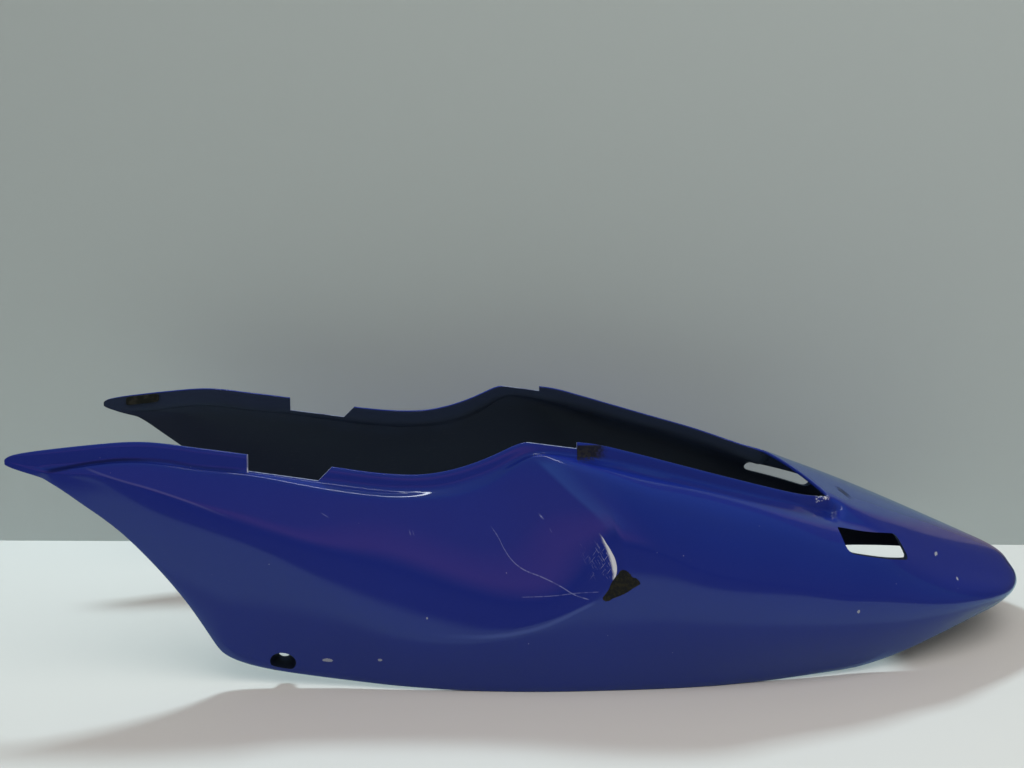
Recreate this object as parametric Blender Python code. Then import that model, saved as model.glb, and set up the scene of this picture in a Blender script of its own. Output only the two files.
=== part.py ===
"""Motorcycle tail fairing: one painted plastic moulding with two foam pads at its wing tips.

+X points to the tail, -X to the wing tips, +Z up. The halves mirror each other across y = 0.
The shell is a loft of half sections. Each named curve below gives one line of it along x.
"""

import math

import bmesh
import bpy
import numpy as np

WALL = 0.003
PIECE_GAP = 0.0003

# Move along x that puts the origin under the middle of the finished piece.
CENTRE_SHIFT = 0.007

# Seat opening: its straight rear edge, and where the groove beside it runs out into the skin.
OPENING_REAR_X = 0.2115
GROOVE_END = (0.2095, 0.2285)

# Wing tongue: the joggle that sets it in from the painted panel.
TONGUE_STEP_X = (-0.404, -0.400)
TONGUE_STEP = 0.0032

# Lines along the shell as (x, value) knots. Widths are half widths.
TOP_Z = (
    (-0.4310, 0.1755), (-0.4285, 0.1775), (-0.4240, 0.1790), (-0.4000, 0.1826), (-0.3610, 0.1868),
    (-0.3350, 0.1887), (-0.2880, 0.1835), (-0.2527, 0.1788), (-0.1870, 0.1689), (-0.1470, 0.1644),
    (-0.1250, 0.1640), (-0.1010, 0.1678), (-0.0710, 0.1780), (-0.0550, 0.1858), (-0.0467, 0.1892),
    (-0.0060, 0.1890), (0.0440, 0.1777), (0.0920, 0.1643), (0.1580, 0.1463), (0.1980, 0.1348),
    (0.2115, 0.1325), (0.2400, 0.1205), (0.2700, 0.1085), (0.3140, 0.0895), (0.3530, 0.0735),
    (0.3800, 0.0622), (0.3980, 0.0550), (0.4090, 0.0495), (0.4150, 0.0450),
)
TOP_Y = (
    (-0.4310, 0.1320), (-0.3610, 0.1330), (-0.2527, 0.1360), (-0.1870, 0.1370), (-0.1470, 0.1420),
    (-0.1010, 0.1450), (-0.0060, 0.1440), (0.0440, 0.1380), (0.0920, 0.1340), (0.1580, 0.1270),
    (0.1850, 0.1130), (0.2000, 0.1020), (0.2115, 0.0960), (0.2400, 0.0915), (0.2700, 0.0845),
    (0.3140, 0.0700), (0.3530, 0.0540), (0.3800, 0.0400), (0.3980, 0.0270), (0.4090, 0.0160),
    (0.4150, 0.0070),
)
ROOT_Z = (
    (-0.4310, 0.1742), (-0.4240, 0.1740), (-0.4000, 0.1700), (-0.3770, 0.1720), (-0.3610, 0.1745),
    (-0.3380, 0.1760), (-0.2870, 0.1695), (-0.2525, 0.1658), (-0.2000, 0.1583), (-0.1390, 0.1522),
    (-0.1150, 0.1530), (-0.0860, 0.1598), (-0.0650, 0.1680), (-0.0470, 0.1776), (-0.0340, 0.1812),
    (-0.0060, 0.1785), (0.0440, 0.1682), (0.0920, 0.1551), (0.1330, 0.1446), (0.1580, 0.1378),
    (0.2115, 0.1182),
)
SHOULDER_Z = (
    (-0.4310, 0.1738), (-0.4240, 0.1730), (-0.4000, 0.1680), (-0.3770, 0.1695), (-0.3610, 0.1720),
    (-0.3380, 0.1737), (-0.2870, 0.1675), (-0.2500, 0.1640), (-0.2000, 0.1545), (-0.1310, 0.1480),
    (-0.1000, 0.1500), (-0.0710, 0.1596), (-0.0550, 0.1710), (-0.0415, 0.1793), (-0.0340, 0.1812),
    (-0.0200, 0.1790), (0.0120, 0.1720), (0.0440, 0.1635), (0.0915, 0.1516), (0.1580, 0.1330),
    (0.2105, 0.1175), (0.2400, 0.1105), (0.2700, 0.0978), (0.3140, 0.0790), (0.3530, 0.0638),
    (0.3800, 0.0541), (0.3980, 0.0490), (0.4090, 0.0452), (0.4150, 0.0425),
)
SHOULDER_Y = (
    (-0.4310, 0.1320), (-0.3610, 0.1332), (-0.2870, 0.1352), (-0.2500, 0.1370), (-0.2000, 0.1420),
    (-0.1310, 0.1490), (-0.1000, 0.1495), (-0.0340, 0.1480), (0.0120, 0.1475), (0.0440, 0.1435),
    (0.0915, 0.1395), (0.1580, 0.1320), (0.1850, 0.1195), (0.2105, 0.1075), (0.2400, 0.1065),
    (0.2700, 0.1015), (0.3140, 0.0865), (0.3530, 0.0690), (0.3800, 0.0525), (0.3980, 0.0370),
    (0.4090, 0.0225), (0.4150, 0.0105),
)
WIDEST_Z = (
    (-0.4310, 0.1732), (-0.4240, 0.1715), (-0.4040, 0.1655), (-0.4000, 0.1650), (-0.3680, 0.1600),
    (-0.3250, 0.1370), (-0.2370, 0.1020), (-0.1920, 0.0750), (-0.1470, 0.0510), (-0.1160, 0.0430),
    (-0.0930, 0.0425), (-0.0410, 0.0530), (0.0110, 0.0740), (0.0300, 0.0790), (0.0600, 0.0760),
    (0.1000, 0.0680), (0.1500, 0.0620), (0.2000, 0.0580), (0.2700, 0.0540), (0.3140, 0.0500),
    (0.3530, 0.0465), (0.3800, 0.0438), (0.3980, 0.0422), (0.4150, 0.0405),
)
WIDEST_Y = (
    (-0.4310, 0.1320), (-0.3680, 0.1345), (-0.3250, 0.1395), (-0.2370, 0.1490), (-0.1920, 0.1545),
    (-0.1470, 0.1620), (-0.0930, 0.1690), (-0.0410, 0.1745), (0.0110, 0.1795), (0.0600, 0.1820),
    (0.1000, 0.1810), (0.1500, 0.1755), (0.2000, 0.1655), (0.2400, 0.1555), (0.2700, 0.1455),
    (0.3000, 0.1335), (0.3230, 0.1215), (0.3470, 0.1065), (0.3585, 0.0985), (0.3800, 0.0790),
    (0.3980, 0.0545), (0.4090, 0.0345), (0.4150, 0.0165),
)
EDGE_Z = (
    (-0.4310, 0.1718), (-0.4285, 0.1700), (-0.4240, 0.1682), (-0.4150, 0.1650), (-0.3990, 0.1598),
    (-0.3780, 0.1443), (-0.3490, 0.1224), (-0.3280, 0.1003), (-0.3060, 0.0735), (-0.2915, 0.0520),
    (-0.2780, 0.0290), (-0.2735, 0.0240), (-0.2640, 0.0190), (-0.2470, 0.0140), (-0.2155, 0.0095),
    (-0.1850, 0.0062), (-0.1395, 0.0028), (-0.0965, 0.0005), (-0.0850, 0.0000), (0.1300, 0.0000),
    (0.1770, 0.0022), (0.2210, 0.0044), (0.2620, 0.0130), (0.3000, 0.0245), (0.3230, 0.0286),
    (0.3470, 0.0318), (0.3585, 0.0332), (0.3800, 0.0352), (0.4150, 0.0368),
)
EDGE_Y = (
    (-0.4310, 0.1320), (-0.3990, 0.1330), (-0.3490, 0.1345), (-0.3060, 0.1360), (-0.2735, 0.1370),
    (-0.2470, 0.1390), (-0.2155, 0.1430), (-0.1850, 0.1465), (-0.1395, 0.1540), (-0.0965, 0.1585),
    (-0.0750, 0.1605), (-0.0350, 0.1638), (0.0000, 0.1646), (0.0520, 0.1636), (0.0910, 0.1612),
    (0.1330, 0.1555), (0.1770, 0.1490), (0.2210, 0.1405), (0.2620, 0.1325), (0.3000, 0.1220),
    (0.3230, 0.1095), (0.3470, 0.0955), (0.3585, 0.0890), (0.3800, 0.0705), (0.3980, 0.0490),
    (0.4090, 0.0315), (0.4150, 0.0155),
)
CROWN_Z = (
    (0.2115, 0.1358), (0.2400, 0.1285), (0.2660, 0.1193), (0.3140, 0.1000), (0.3530, 0.0832),
    (0.3870, 0.0670), (0.4040, 0.0590), (0.4115, 0.0540), (0.4150, 0.0505),
)
CROWN_FLATNESS = 2.2
SHOULDER_ROUND = 0.004
ROOT_FLARE = 0.0012

# Rounded tail: where the side starts to carry on the slope of the crown, and how much steeper it is.
TAIL_BLEND_X = (0.215, 0.300)
TAIL_STEEPENING = 1.15
TIP = (0.4170, 0.0, 0.0440)
UNDER_TIP = (0.4160, 0.0, 0.0369)

# Thigh recess ahead of the rear body: its ridge leans back from the shoulder to the crescent.
RIDGE_X = -0.030
RIDGE_LEAN = 0.056
RIDGE_REACH = (0.130, 0.150)
RECESS_RUN_IN = 0.045
LIP_FRONT_X = (-0.190, -0.090)

# Stations along x, and the number of intervals down the side.
STATIONS = (
    -0.4310, -0.4285, -0.4240, -0.4150, -0.4040, -0.4000, -0.3880, -0.3750, -0.3610, -0.3450,
    -0.3280, -0.3140, -0.3010, -0.2900, -0.2790, -0.2735, -0.2620, -0.2450, -0.2250, -0.2030,
    -0.1830, -0.1630, -0.1430, -0.1240, -0.1080, -0.0930, -0.0790, -0.0670, -0.0560, -0.0467,
    -0.0380, -0.0300, -0.0200, -0.0060, 0.0120, 0.0310, 0.0520, 0.0760, 0.1010, 0.1270, 0.1540,
    0.1790, 0.1950, 0.2065, 0.2115, 0.2155, 0.2210, 0.2285, 0.2450, 0.2660, 0.2880, 0.3090, 0.3290,
    0.3470, 0.3630, 0.3760, 0.3870, 0.3965, 0.4040, 0.4100, 0.4142,
)
SIDE_STEPS = 6
SKIRT_STEPS = 3
CROWN_STEPS = 5

# Flange cut-outs, as outlines in x and z.
NOTCH = ((-0.2527, 0.1662), (-0.2005, 0.1588), (-0.1875, 0.1720), (-0.1875, 0.2100), (-0.2527, 0.2100))
STEP_FRONT = (-0.0467, 0.1892)
STEP_REAR = (-0.0055, 0.1837)

# Side slots through the tail, a parallelogram with rounded corners.
SLOT = (
    (0.2070, 0.1152, 0.0015), (0.2602, 0.1042, 0.0050), (0.2632, 0.0900, 0.0020), (0.2062, 0.1018, 0.0060),
)
CORNER_STEPS = 4

# How far the tools for the openings reach to either side, and how high.
CUT_REACH = 0.2
CUT_TOP = 0.21

# Fastener wells at the lower front corners: an oval mouth narrowing to a round bore.
WELL_X = -0.2288
WELL_MOUTH_Z = 0.0170
WELL_MOUTH = (0.0095, 0.0068)
WELL_BORE_Z = 0.0205
WELL_BORE_RADIUS = 0.0040
WELL_DEPTH = 0.0140
WELL_WALL = 0.0020
WELL_BACKSET = 0.0012
BORE_OVERRUN = (0.012, 0.004)
WELL_SIDES = 24

# Foam pads on the inner faces of the tongues.
PAD_X = (-0.4090, -0.3780)
PAD_HEIGHT = 0.0082
PAD_TOP_MARGIN = 0.0009
PAD_THICKNESS = 0.0030
PAD_EDGE = 0.0006

# Broken corner where the left flange meets the tail.
CHIP = (
    (0.1965, 0.1400), (0.1980, 0.1345), (0.2005, 0.1332), (0.2030, 0.1341), (0.2045, 0.1322),
    (0.2065, 0.1400),
)
CHIP_INNER_Y = -0.08


def clear_scene():
    """Empties the scene."""
    for old in list(bpy.data.objects):
        bpy.data.objects.remove(old, do_unlink=True)


def curve(knots, x):
    """Value at x of the smooth curve through the knots. It never overshoots them."""
    xs = np.array([k[0] for k in knots])
    ys = np.array([k[1] for k in knots])
    if x <= xs[0]:
        return float(ys[0])
    if x >= xs[-1]:
        return float(ys[-1])
    width = np.diff(xs)
    rise = np.diff(ys) / width
    slope = np.zeros(len(xs))
    for i in range(1, len(xs) - 1):
        if rise[i - 1] * rise[i] > 0:
            before, after = 2 * width[i] + width[i - 1], width[i] + 2 * width[i - 1]
            slope[i] = (before + after) / (before / rise[i - 1] + after / rise[i])
    slope[0], slope[-1] = rise[0], rise[-1]
    i = int(np.searchsorted(xs, x)) - 1
    t = (x - xs[i]) / width[i]
    return float(
        ys[i] * (1 + 2 * t) * (1 - t) ** 2
        + slope[i] * width[i] * t * (1 - t) ** 2
        + ys[i + 1] * t * t * (3 - 2 * t)
        + slope[i + 1] * width[i] * t * t * (t - 1)
    )


def ease(low, high, value):
    """A smooth step from 0 at low to 1 at high."""
    t = min(1.0, max(0.0, (value - low) / (high - low)))
    return t * t * (3 - 2 * t)


def bezier(points, t):
    """The point at t of the Bezier curve over control points."""
    points = [np.array(p, float) for p in points]
    while len(points) > 1:
        points = [a + (b - a) * t for a, b in zip(points, points[1:])]
    return points[0]


def step_out(x):
    """How far the painted panel stands out from the tongue at x."""
    return TONGUE_STEP * ease(*TONGUE_STEP_X, x)


def ridge_shift(x, down):
    """Lean of a section towards the tail. down runs 0 to 1 from shoulder to widest line, 2 at the edge."""
    reach = RIDGE_REACH[0] if x < RIDGE_X else RIDGE_REACH[1]
    near = abs(x - RIDGE_X) / reach
    if near >= 1:
        return 0.0
    bump = math.cos(0.5 * math.pi * near) ** 2
    lean = math.sin(0.5 * math.pi * down / 0.85) if down < 0.85 else 1 - 0.45 * ease(0.85, 2.0, down)
    return RIDGE_LEAN * bump * lean


def recess_blend(x, down):
    """0 in the thigh recess, 1 on the rear body. The change is soft above and crisp at the crescent."""
    soft = ease(RIDGE_X - 0.060, RIDGE_X + 0.030, x)
    ahead = max(0.0, RIDGE_X - x)
    crisp = max(0.0, 1 - ahead / RECESS_RUN_IN) ** 2
    mix = ease(0.25, 0.70, down)
    return soft * (1 - mix) + crisp * mix


def half_section(x):
    """Points (x, y, z) of the outer face at station x, from the flange top down to the lower edge."""
    out = step_out(x)
    top = np.array((x, curve(TOP_Y, x), curve(TOP_Z, x)))
    shoulder = np.array((x, curve(SHOULDER_Y, x) + out, curve(SHOULDER_Z, x)))
    root = np.array((x, top[1] + ROOT_FLARE * ease(-0.26, -0.20, x), curve(ROOT_Z, x)))
    wide_x, edge_x = x + ridge_shift(x, 1.0), x + ridge_shift(x, 2.0)
    widest = np.array((wide_x, curve(WIDEST_Y, wide_x) + step_out(wide_x), curve(WIDEST_Z, wide_x)))
    edge = np.array((edge_x, curve(EDGE_Y, edge_x) + step_out(edge_x), curve(EDGE_Z, edge_x)))
    out_y, fall = widest[1] - shoulder[1], shoulder[2] - widest[2]
    lip, tail = ease(*LIP_FRONT_X, x), ease(*TAIL_BLEND_X, x)
    dished = (
        shoulder[1:],
        shoulder[1:] + ((0.52 - 0.07 * lip) * out_y, -0.33 * fall),
        widest[1:] + (-0.33 * fall * math.tan(math.radians(3 + 3 * lip)), 0.33 * fall),
        widest[1:],
    )
    skin_slope = TAIL_STEEPENING * (top[2] - shoulder[2]) / (shoulder[1] - top[1]) if tail else 0.0
    drop_in = 0.06 * fall * (1 - tail) + min(0.5 * out_y * skin_slope, 0.5 * fall) * tail
    bulged = (
        shoulder[1:],
        shoulder[1:] + ((0.60 - 0.10 * tail) * out_y, -drop_in),
        widest[1:] + (0.0, (0.60 - 0.15 * tail) * fall),
        widest[1:],
    )
    side = []
    for i in range(SIDE_STEPS + 1):
        down = i / SIDE_STEPS
        share = recess_blend(x, down)
        y, z = bezier(dished, down) * (1 - share) + bezier(bulged, down) * share
        side.append(np.array((x + ridge_shift(x, down), y, z)))
    # The rounded shoulder takes the place of the first side point.
    first = side[1] - side[0]
    start = side[0] + first * min(0.45, SHOULDER_ROUND / max(np.linalg.norm(first), 1e-6))
    inner = root + (shoulder - root) * 0.45
    round_mid = bezier((inner, shoulder, start), 0.5)
    flat = ease(*GROOVE_END, x)
    if flat > 0:
        over = (top, top * 0.35 + shoulder * 0.65 + np.array((0, 0.0015, 0.0022)) * (1 - tail), start)
        skin = [bezier(over, t) for t in (0.33, 0.55, 0.78)]
        root, inner, round_mid = (a * (1 - flat) + b * flat for a, b in zip((root, inner, round_mid), skin))
    drop = widest[2] - edge[2]
    roll = -0.33 * drop * math.tan(math.radians(4 * lip)) * (1 - recess_blend(x, 1.0))
    curved = (
        widest,
        widest + ((edge[0] - widest[0]) / 3, roll, -drop / 3),
        edge + ((widest[0] - edge[0]) / 3, (widest[1] - edge[1]) * 0.45, drop / 3),
        edge,
    )
    skirt = [bezier(curved, i / SKIRT_STEPS) for i in range(1, SKIRT_STEPS + 1)]
    return [top, root, inner, round_mid, start, *side[1:], *skirt]


def crown_points(x, top):
    """Points across the closed tail at station x, from next to the top line to the one on y = 0."""
    crown = curve(CROWN_Z, x)
    points = []
    for i in range(1, CROWN_STEPS + 1):
        share = 1 - i / CROWN_STEPS
        points.append(np.array((x, top[1] * share, crown - (crown - top[2]) * share**CROWN_FLATNESS)))
    return points


def shell_sheet():
    """The outer face of the whole fairing as an open sheet, with the loop of its lower edge."""
    sheet = bmesh.new()
    mirror = np.array((1, -1, 1))
    columns = {-1: [], 1: []}
    crowns = []
    for x in STATIONS:
        half = half_section(x)
        for side in (-1, 1):
            columns[side].append([sheet.verts.new(p * (mirror if side < 0 else 1)) for p in half])
        if x >= OPENING_REAR_X:
            arch = crown_points(x, half[0])
            left = [sheet.verts.new(p * mirror) for p in arch[:-1]]
            right = [sheet.verts.new(p) for p in arch]
            crowns.append([columns[-1][-1][0], *left, right[-1], *right[-2::-1], columns[1][-1][0]])
    tip, under = sheet.verts.new(TIP), sheet.verts.new(UNDER_TIP)
    for side in (-1, 1):
        grid = columns[side]
        for a, b in zip(grid, grid[1:]):
            for i in range(len(a) - 1):
                ring = (a[i], a[i + 1], b[i + 1], b[i])
                sheet.faces.new(ring if side < 0 else ring[::-1])
        last = [*grid[-1], under]
        for i in range(len(last) - 1):
            ring = (last[i], last[i + 1], tip)
            sheet.faces.new(ring if side < 0 else ring[::-1])
    for a, b in zip(crowns, crowns[1:]):
        for i in range(len(a) - 1):
            sheet.faces.new((a[i + 1], a[i], b[i], b[i + 1]))
    last = crowns[-1]
    for i in range(len(last) - 1):
        sheet.faces.new((last[i + 1], last[i], tip))
    edge_verts = {column[-1] for side in (-1, 1) for column in columns[side]} | {under}
    return sheet, edge_verts


def thicken(sheet, edge_verts):
    """Adds the inner face one wall inside the sheet, and the rim between them."""
    sheet.normal_update()
    outer = list(sheet.verts)
    faces = list(sheet.faces)
    rims = [edge for edge in sheet.edges if edge.is_boundary]
    inner = {}
    for vert in outer:
        place = vert.co - vert.normal * WALL * min(vert.calc_shell_factor(), 1.6)
        if vert in edge_verts:
            place.z = vert.co.z
        inner[vert] = place
    inner = {vert: sheet.verts.new(place) for vert, place in inner.items()}
    for face in faces:
        sheet.faces.new([inner[v] for v in reversed(face.verts)])
    for edge in rims:
        face = edge.link_faces[0]
        loop = next(l for l in face.loops if l.edge == edge)
        a, b = loop.vert, loop.link_loop_next.vert
        sheet.faces.new((b, a, inner[a], inner[b]))


def to_object(name, mesh_data, smooth=False):
    """An object of the mesh data, moved with the rest so that the finished piece is centred."""
    mesh = bpy.data.meshes.new(name)
    bmesh.ops.recalc_face_normals(mesh_data, faces=mesh_data.faces[:])
    bmesh.ops.translate(mesh_data, verts=mesh_data.verts[:], vec=(CENTRE_SHIFT, 0.0, 0.0))
    mesh_data.to_mesh(mesh)
    mesh_data.free()
    for face in mesh.polygons:
        face.use_smooth = smooth
    obj = bpy.data.objects.new(name, mesh)
    bpy.context.scene.collection.objects.link(obj)
    return obj


def loops_solid(loops):
    """A closed solid through loops of points, each of the same count."""
    solid = bmesh.new()
    rows = [[solid.verts.new(p) for p in loop] for loop in loops]
    count = len(rows[0])
    for a, b in zip(rows, rows[1:]):
        for i in range(count):
            j = (i + 1) % count
            solid.faces.new((a[i], a[j], b[j], b[i]))
    solid.faces.new(rows[0][::-1])
    solid.faces.new(rows[-1])
    return solid


def prism(name, outline, y_low, y_high):
    """A prism along y over an outline in x and z."""
    loops = [[(x, y, z) for x, z in outline] for y in (y_low, y_high)]
    return as_tool(to_object(name, loops_solid(loops)))


def as_tool(obj):
    """Keeps a tool out of renders and shows it as wires."""
    obj.hide_render = True
    obj.display_type = "WIRE"
    return obj


def apply_boolean(obj, tool, operation):
    """Joins or cuts an object with a tool."""
    modifier = obj.modifiers.new(tool.name, "BOOLEAN")
    modifier.operation = operation
    modifier.solver = "EXACT"
    modifier.object = tool


def rounded_outline(corners):
    """An outline in x and z with each corner (x, z, radius) rounded."""
    outline = []
    count = len(corners)
    for i, (x, z, radius) in enumerate(corners):
        here = np.array((x, z))
        before = np.array(corners[i - 1][:2]) - here
        after = np.array(corners[(i + 1) % count][:2]) - here
        before /= np.linalg.norm(before)
        after /= np.linalg.norm(after)
        half = 0.5 * math.acos(float(np.clip(before @ after, -1, 1)))
        run = radius / math.tan(half)
        corner = (here + before * run, here, here + after * run)
        outline += [tuple(bezier(corner, step / CORNER_STEPS)) for step in range(CORNER_STEPS + 1)]
    return outline


def well_loops(side, grow, depth_from, depth_to, face_y):
    """Oval loops from the mouth of a fastener well to its bore, grown outwards by grow."""
    loops = []
    for depth in (depth_from, depth_to):
        inward = depth / WELL_DEPTH
        radius_x = WELL_MOUTH[0] + (WELL_BORE_RADIUS - WELL_MOUTH[0]) * inward + grow
        radius_z = WELL_MOUTH[1] + (WELL_BORE_RADIUS - WELL_MOUTH[1]) * inward + grow
        y, z = side * (face_y - depth), WELL_MOUTH_Z + (WELL_BORE_Z - WELL_MOUTH_Z) * inward
        turns = [2 * math.pi * i / WELL_SIDES for i in range(WELL_SIDES)]
        loops.append([(WELL_X + radius_x * math.cos(a), y, z + radius_z * math.sin(a)) for a in turns])
    return loops


def foam_pad(name, side):
    """A pad along the top of the tongue, lying against its inner face."""
    loops = []
    for x in PAD_X:
        face = curve(TOP_Y, x) - WALL - PIECE_GAP
        high = curve(TOP_Z, x) - PAD_TOP_MARGIN
        low = high - PAD_HEIGHT
        section = ((face, high), (face, low), (face - PAD_THICKNESS, low), (face - PAD_THICKNESS, high))
        loops.append([(x, side * y, z) for y, z in section])
    pad = to_object(name, loops_solid(loops))
    bevel = pad.modifiers.new("soft_edges", "BEVEL")
    bevel.width = PAD_EDGE
    bevel.segments = 2
    return pad


def paint(obj, name, colour, roughness, coat=0.0):
    """Gives an object its own material."""
    material = bpy.data.materials.new(name)
    material.use_nodes = True
    shader = material.node_tree.nodes["Principled BSDF"]
    shader.inputs["Base Color"].default_value = (*colour, 1.0)
    shader.inputs["Roughness"].default_value = roughness
    shader.inputs["Coat Weight"].default_value = coat
    obj.data.materials.append(material)


def main():
    """Builds the shell, cuts its openings, and lays the pads in."""
    clear_scene()
    sheet, edge_verts = shell_sheet()
    thicken(sheet, edge_verts)
    shell = to_object("fairing_shell", sheet, smooth=True)

    apply_boolean(shell, prism("notch_tool", NOTCH, -CUT_REACH, CUT_REACH), "DIFFERENCE")
    step = (STEP_FRONT, STEP_REAR, (STEP_REAR[0], CUT_TOP), (STEP_FRONT[0], CUT_TOP))
    apply_boolean(shell, prism("step_tool", step, -CUT_REACH, CUT_REACH), "DIFFERENCE")
    apply_boolean(shell, prism("slot_tool", rounded_outline(SLOT), -CUT_REACH, CUT_REACH), "DIFFERENCE")
    apply_boolean(shell, prism("chip_tool", CHIP, -CUT_REACH, CHIP_INNER_Y), "DIFFERENCE")

    face_y = half_section(WELL_X)[-1][1]
    for side, name in ((-1, "left"), (1, "right")):
        body = loops_solid(well_loops(side, WELL_WALL, WELL_BACKSET, WELL_DEPTH, face_y))
        apply_boolean(shell, as_tool(to_object(f"well_body_{name}", body)), "UNION")
    for side, name in ((-1, "left"), (1, "right")):
        bore = loops_solid(well_loops(side, 0.0, -BORE_OVERRUN[0], WELL_DEPTH + BORE_OVERRUN[1], face_y))
        apply_boolean(shell, as_tool(to_object(f"well_bore_{name}", bore)), "DIFFERENCE")

    paint(shell, "blue_paint", (0.012, 0.024, 0.19), 0.18, coat=1.0)
    for side, name in ((-1, "foam_pad_left"), (1, "foam_pad_right")):
        paint(foam_pad(name, side), name + "_foam", (0.016, 0.016, 0.014), 0.95)


main()
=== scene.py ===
"""Motorcycle tail fairing: one painted plastic moulding, with foam strips inside its wing tips.

The moulding is a cage of half sections along x, thickened by its wall, smoothed, and cut by its openings.
+X points to the tail, +Y to the right wing and +Z up. Sizes are in metres.
"""

import logging
import math
from dataclasses import dataclass, field
from enum import Enum, IntEnum
from typing import Any, Callable, Optional, Sequence

import bmesh
import bpy
import numpy as np
from mathutils import Matrix, Vector
from mathutils.bvhtree import BVHTree


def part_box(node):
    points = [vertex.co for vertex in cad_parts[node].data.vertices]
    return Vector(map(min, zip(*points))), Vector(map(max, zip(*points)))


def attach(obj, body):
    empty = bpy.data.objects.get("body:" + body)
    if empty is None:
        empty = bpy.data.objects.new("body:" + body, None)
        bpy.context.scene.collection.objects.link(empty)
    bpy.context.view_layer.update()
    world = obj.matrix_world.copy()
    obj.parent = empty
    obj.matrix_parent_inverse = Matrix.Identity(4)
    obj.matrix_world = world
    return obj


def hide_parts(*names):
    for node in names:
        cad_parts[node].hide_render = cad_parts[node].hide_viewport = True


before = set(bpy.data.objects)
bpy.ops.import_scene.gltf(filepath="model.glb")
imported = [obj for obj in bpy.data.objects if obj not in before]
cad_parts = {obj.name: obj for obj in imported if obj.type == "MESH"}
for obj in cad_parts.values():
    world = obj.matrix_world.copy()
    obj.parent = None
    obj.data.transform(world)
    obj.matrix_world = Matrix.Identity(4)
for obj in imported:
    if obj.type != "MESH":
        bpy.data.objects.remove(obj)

LOG = logging.getLogger("tail_fairing")
CENTRE_SHIFT = 0.007
Knots = tuple[tuple[float, float], ...]
Pair = tuple[float, float]
Span = tuple[float, float, float, float]
Triple = tuple[float, float, float]
Colour = Triple


class Side(Enum):
    """The wing that a piece belongs to, as the sign of its y."""

    LEFT = -1
    RIGHT = 1


class Axis(Enum):
    """The coordinate that a mark in the paint runs along."""

    X = "x"
    Z = "z"


class Skin(Enum):
    """The material slots of the moulding's faces."""

    PAINTED = 0
    BARE = 1
    CUT = 2
    BORE = 3


class Row(IntEnum):
    """The rows of a half section that carry a crease, counted from the flange's top."""

    ROOT = 1
    SHOULDER = 3
    CREST = 6
    WING = 7
    LIP = 10


# Shader building


class Sock:
    """A shader value or colour that takes part in Python expressions."""

    def __init__(self, shader: "Shader", socket: bpy.types.NodeSocket) -> None:
        """Wraps one output socket of the shader's nodes."""
        self.shader = shader
        self.socket = socket

    def _math(self, operation: str, first: Any, second: Any) -> "Sock":
        """Adds one Math node.

        Args:
            operation: the node's operation.
            first: its first value or link.
            second: its second value or link.

        Returns:
            The node's result.
        """
        return self.shader.node("ShaderNodeMath", {"operation": operation}, {0: first, 1: second})

    def __add__(self, other: Any) -> "Sock":
        """Returns self + other."""
        return self._math("ADD", self, other)

    __radd__ = __add__

    def __sub__(self, other: Any) -> "Sock":
        """Returns self - other."""
        return self._math("SUBTRACT", self, other)

    def __rsub__(self, other: Any) -> "Sock":
        """Returns other - self."""
        return self._math("SUBTRACT", other, self)

    def __mul__(self, other: Any) -> "Sock":
        """Returns self * other."""
        return self._math("MULTIPLY", self, other)

    __rmul__ = __mul__

    def __neg__(self) -> "Sock":
        """Returns -self."""
        return self._math("MULTIPLY", self, -1.0)

    def __abs__(self) -> "Sock":
        """Returns the absolute value."""
        return self._math("ABSOLUTE", self, 0.0)

    def __or__(self, other: Any) -> "Sock":
        """Returns the larger of two masks."""
        return self._math("MAXIMUM", self, other)

    __ror__ = __or__

    def __gt__(self, other: Any) -> "Sock":
        """Returns 1 where self is above other."""
        return self._math("GREATER_THAN", self, other)

    def __lt__(self, other: Any) -> "Sock":
        """Returns 1 where self is below other."""
        return self._math("LESS_THAN", self, other)


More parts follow.
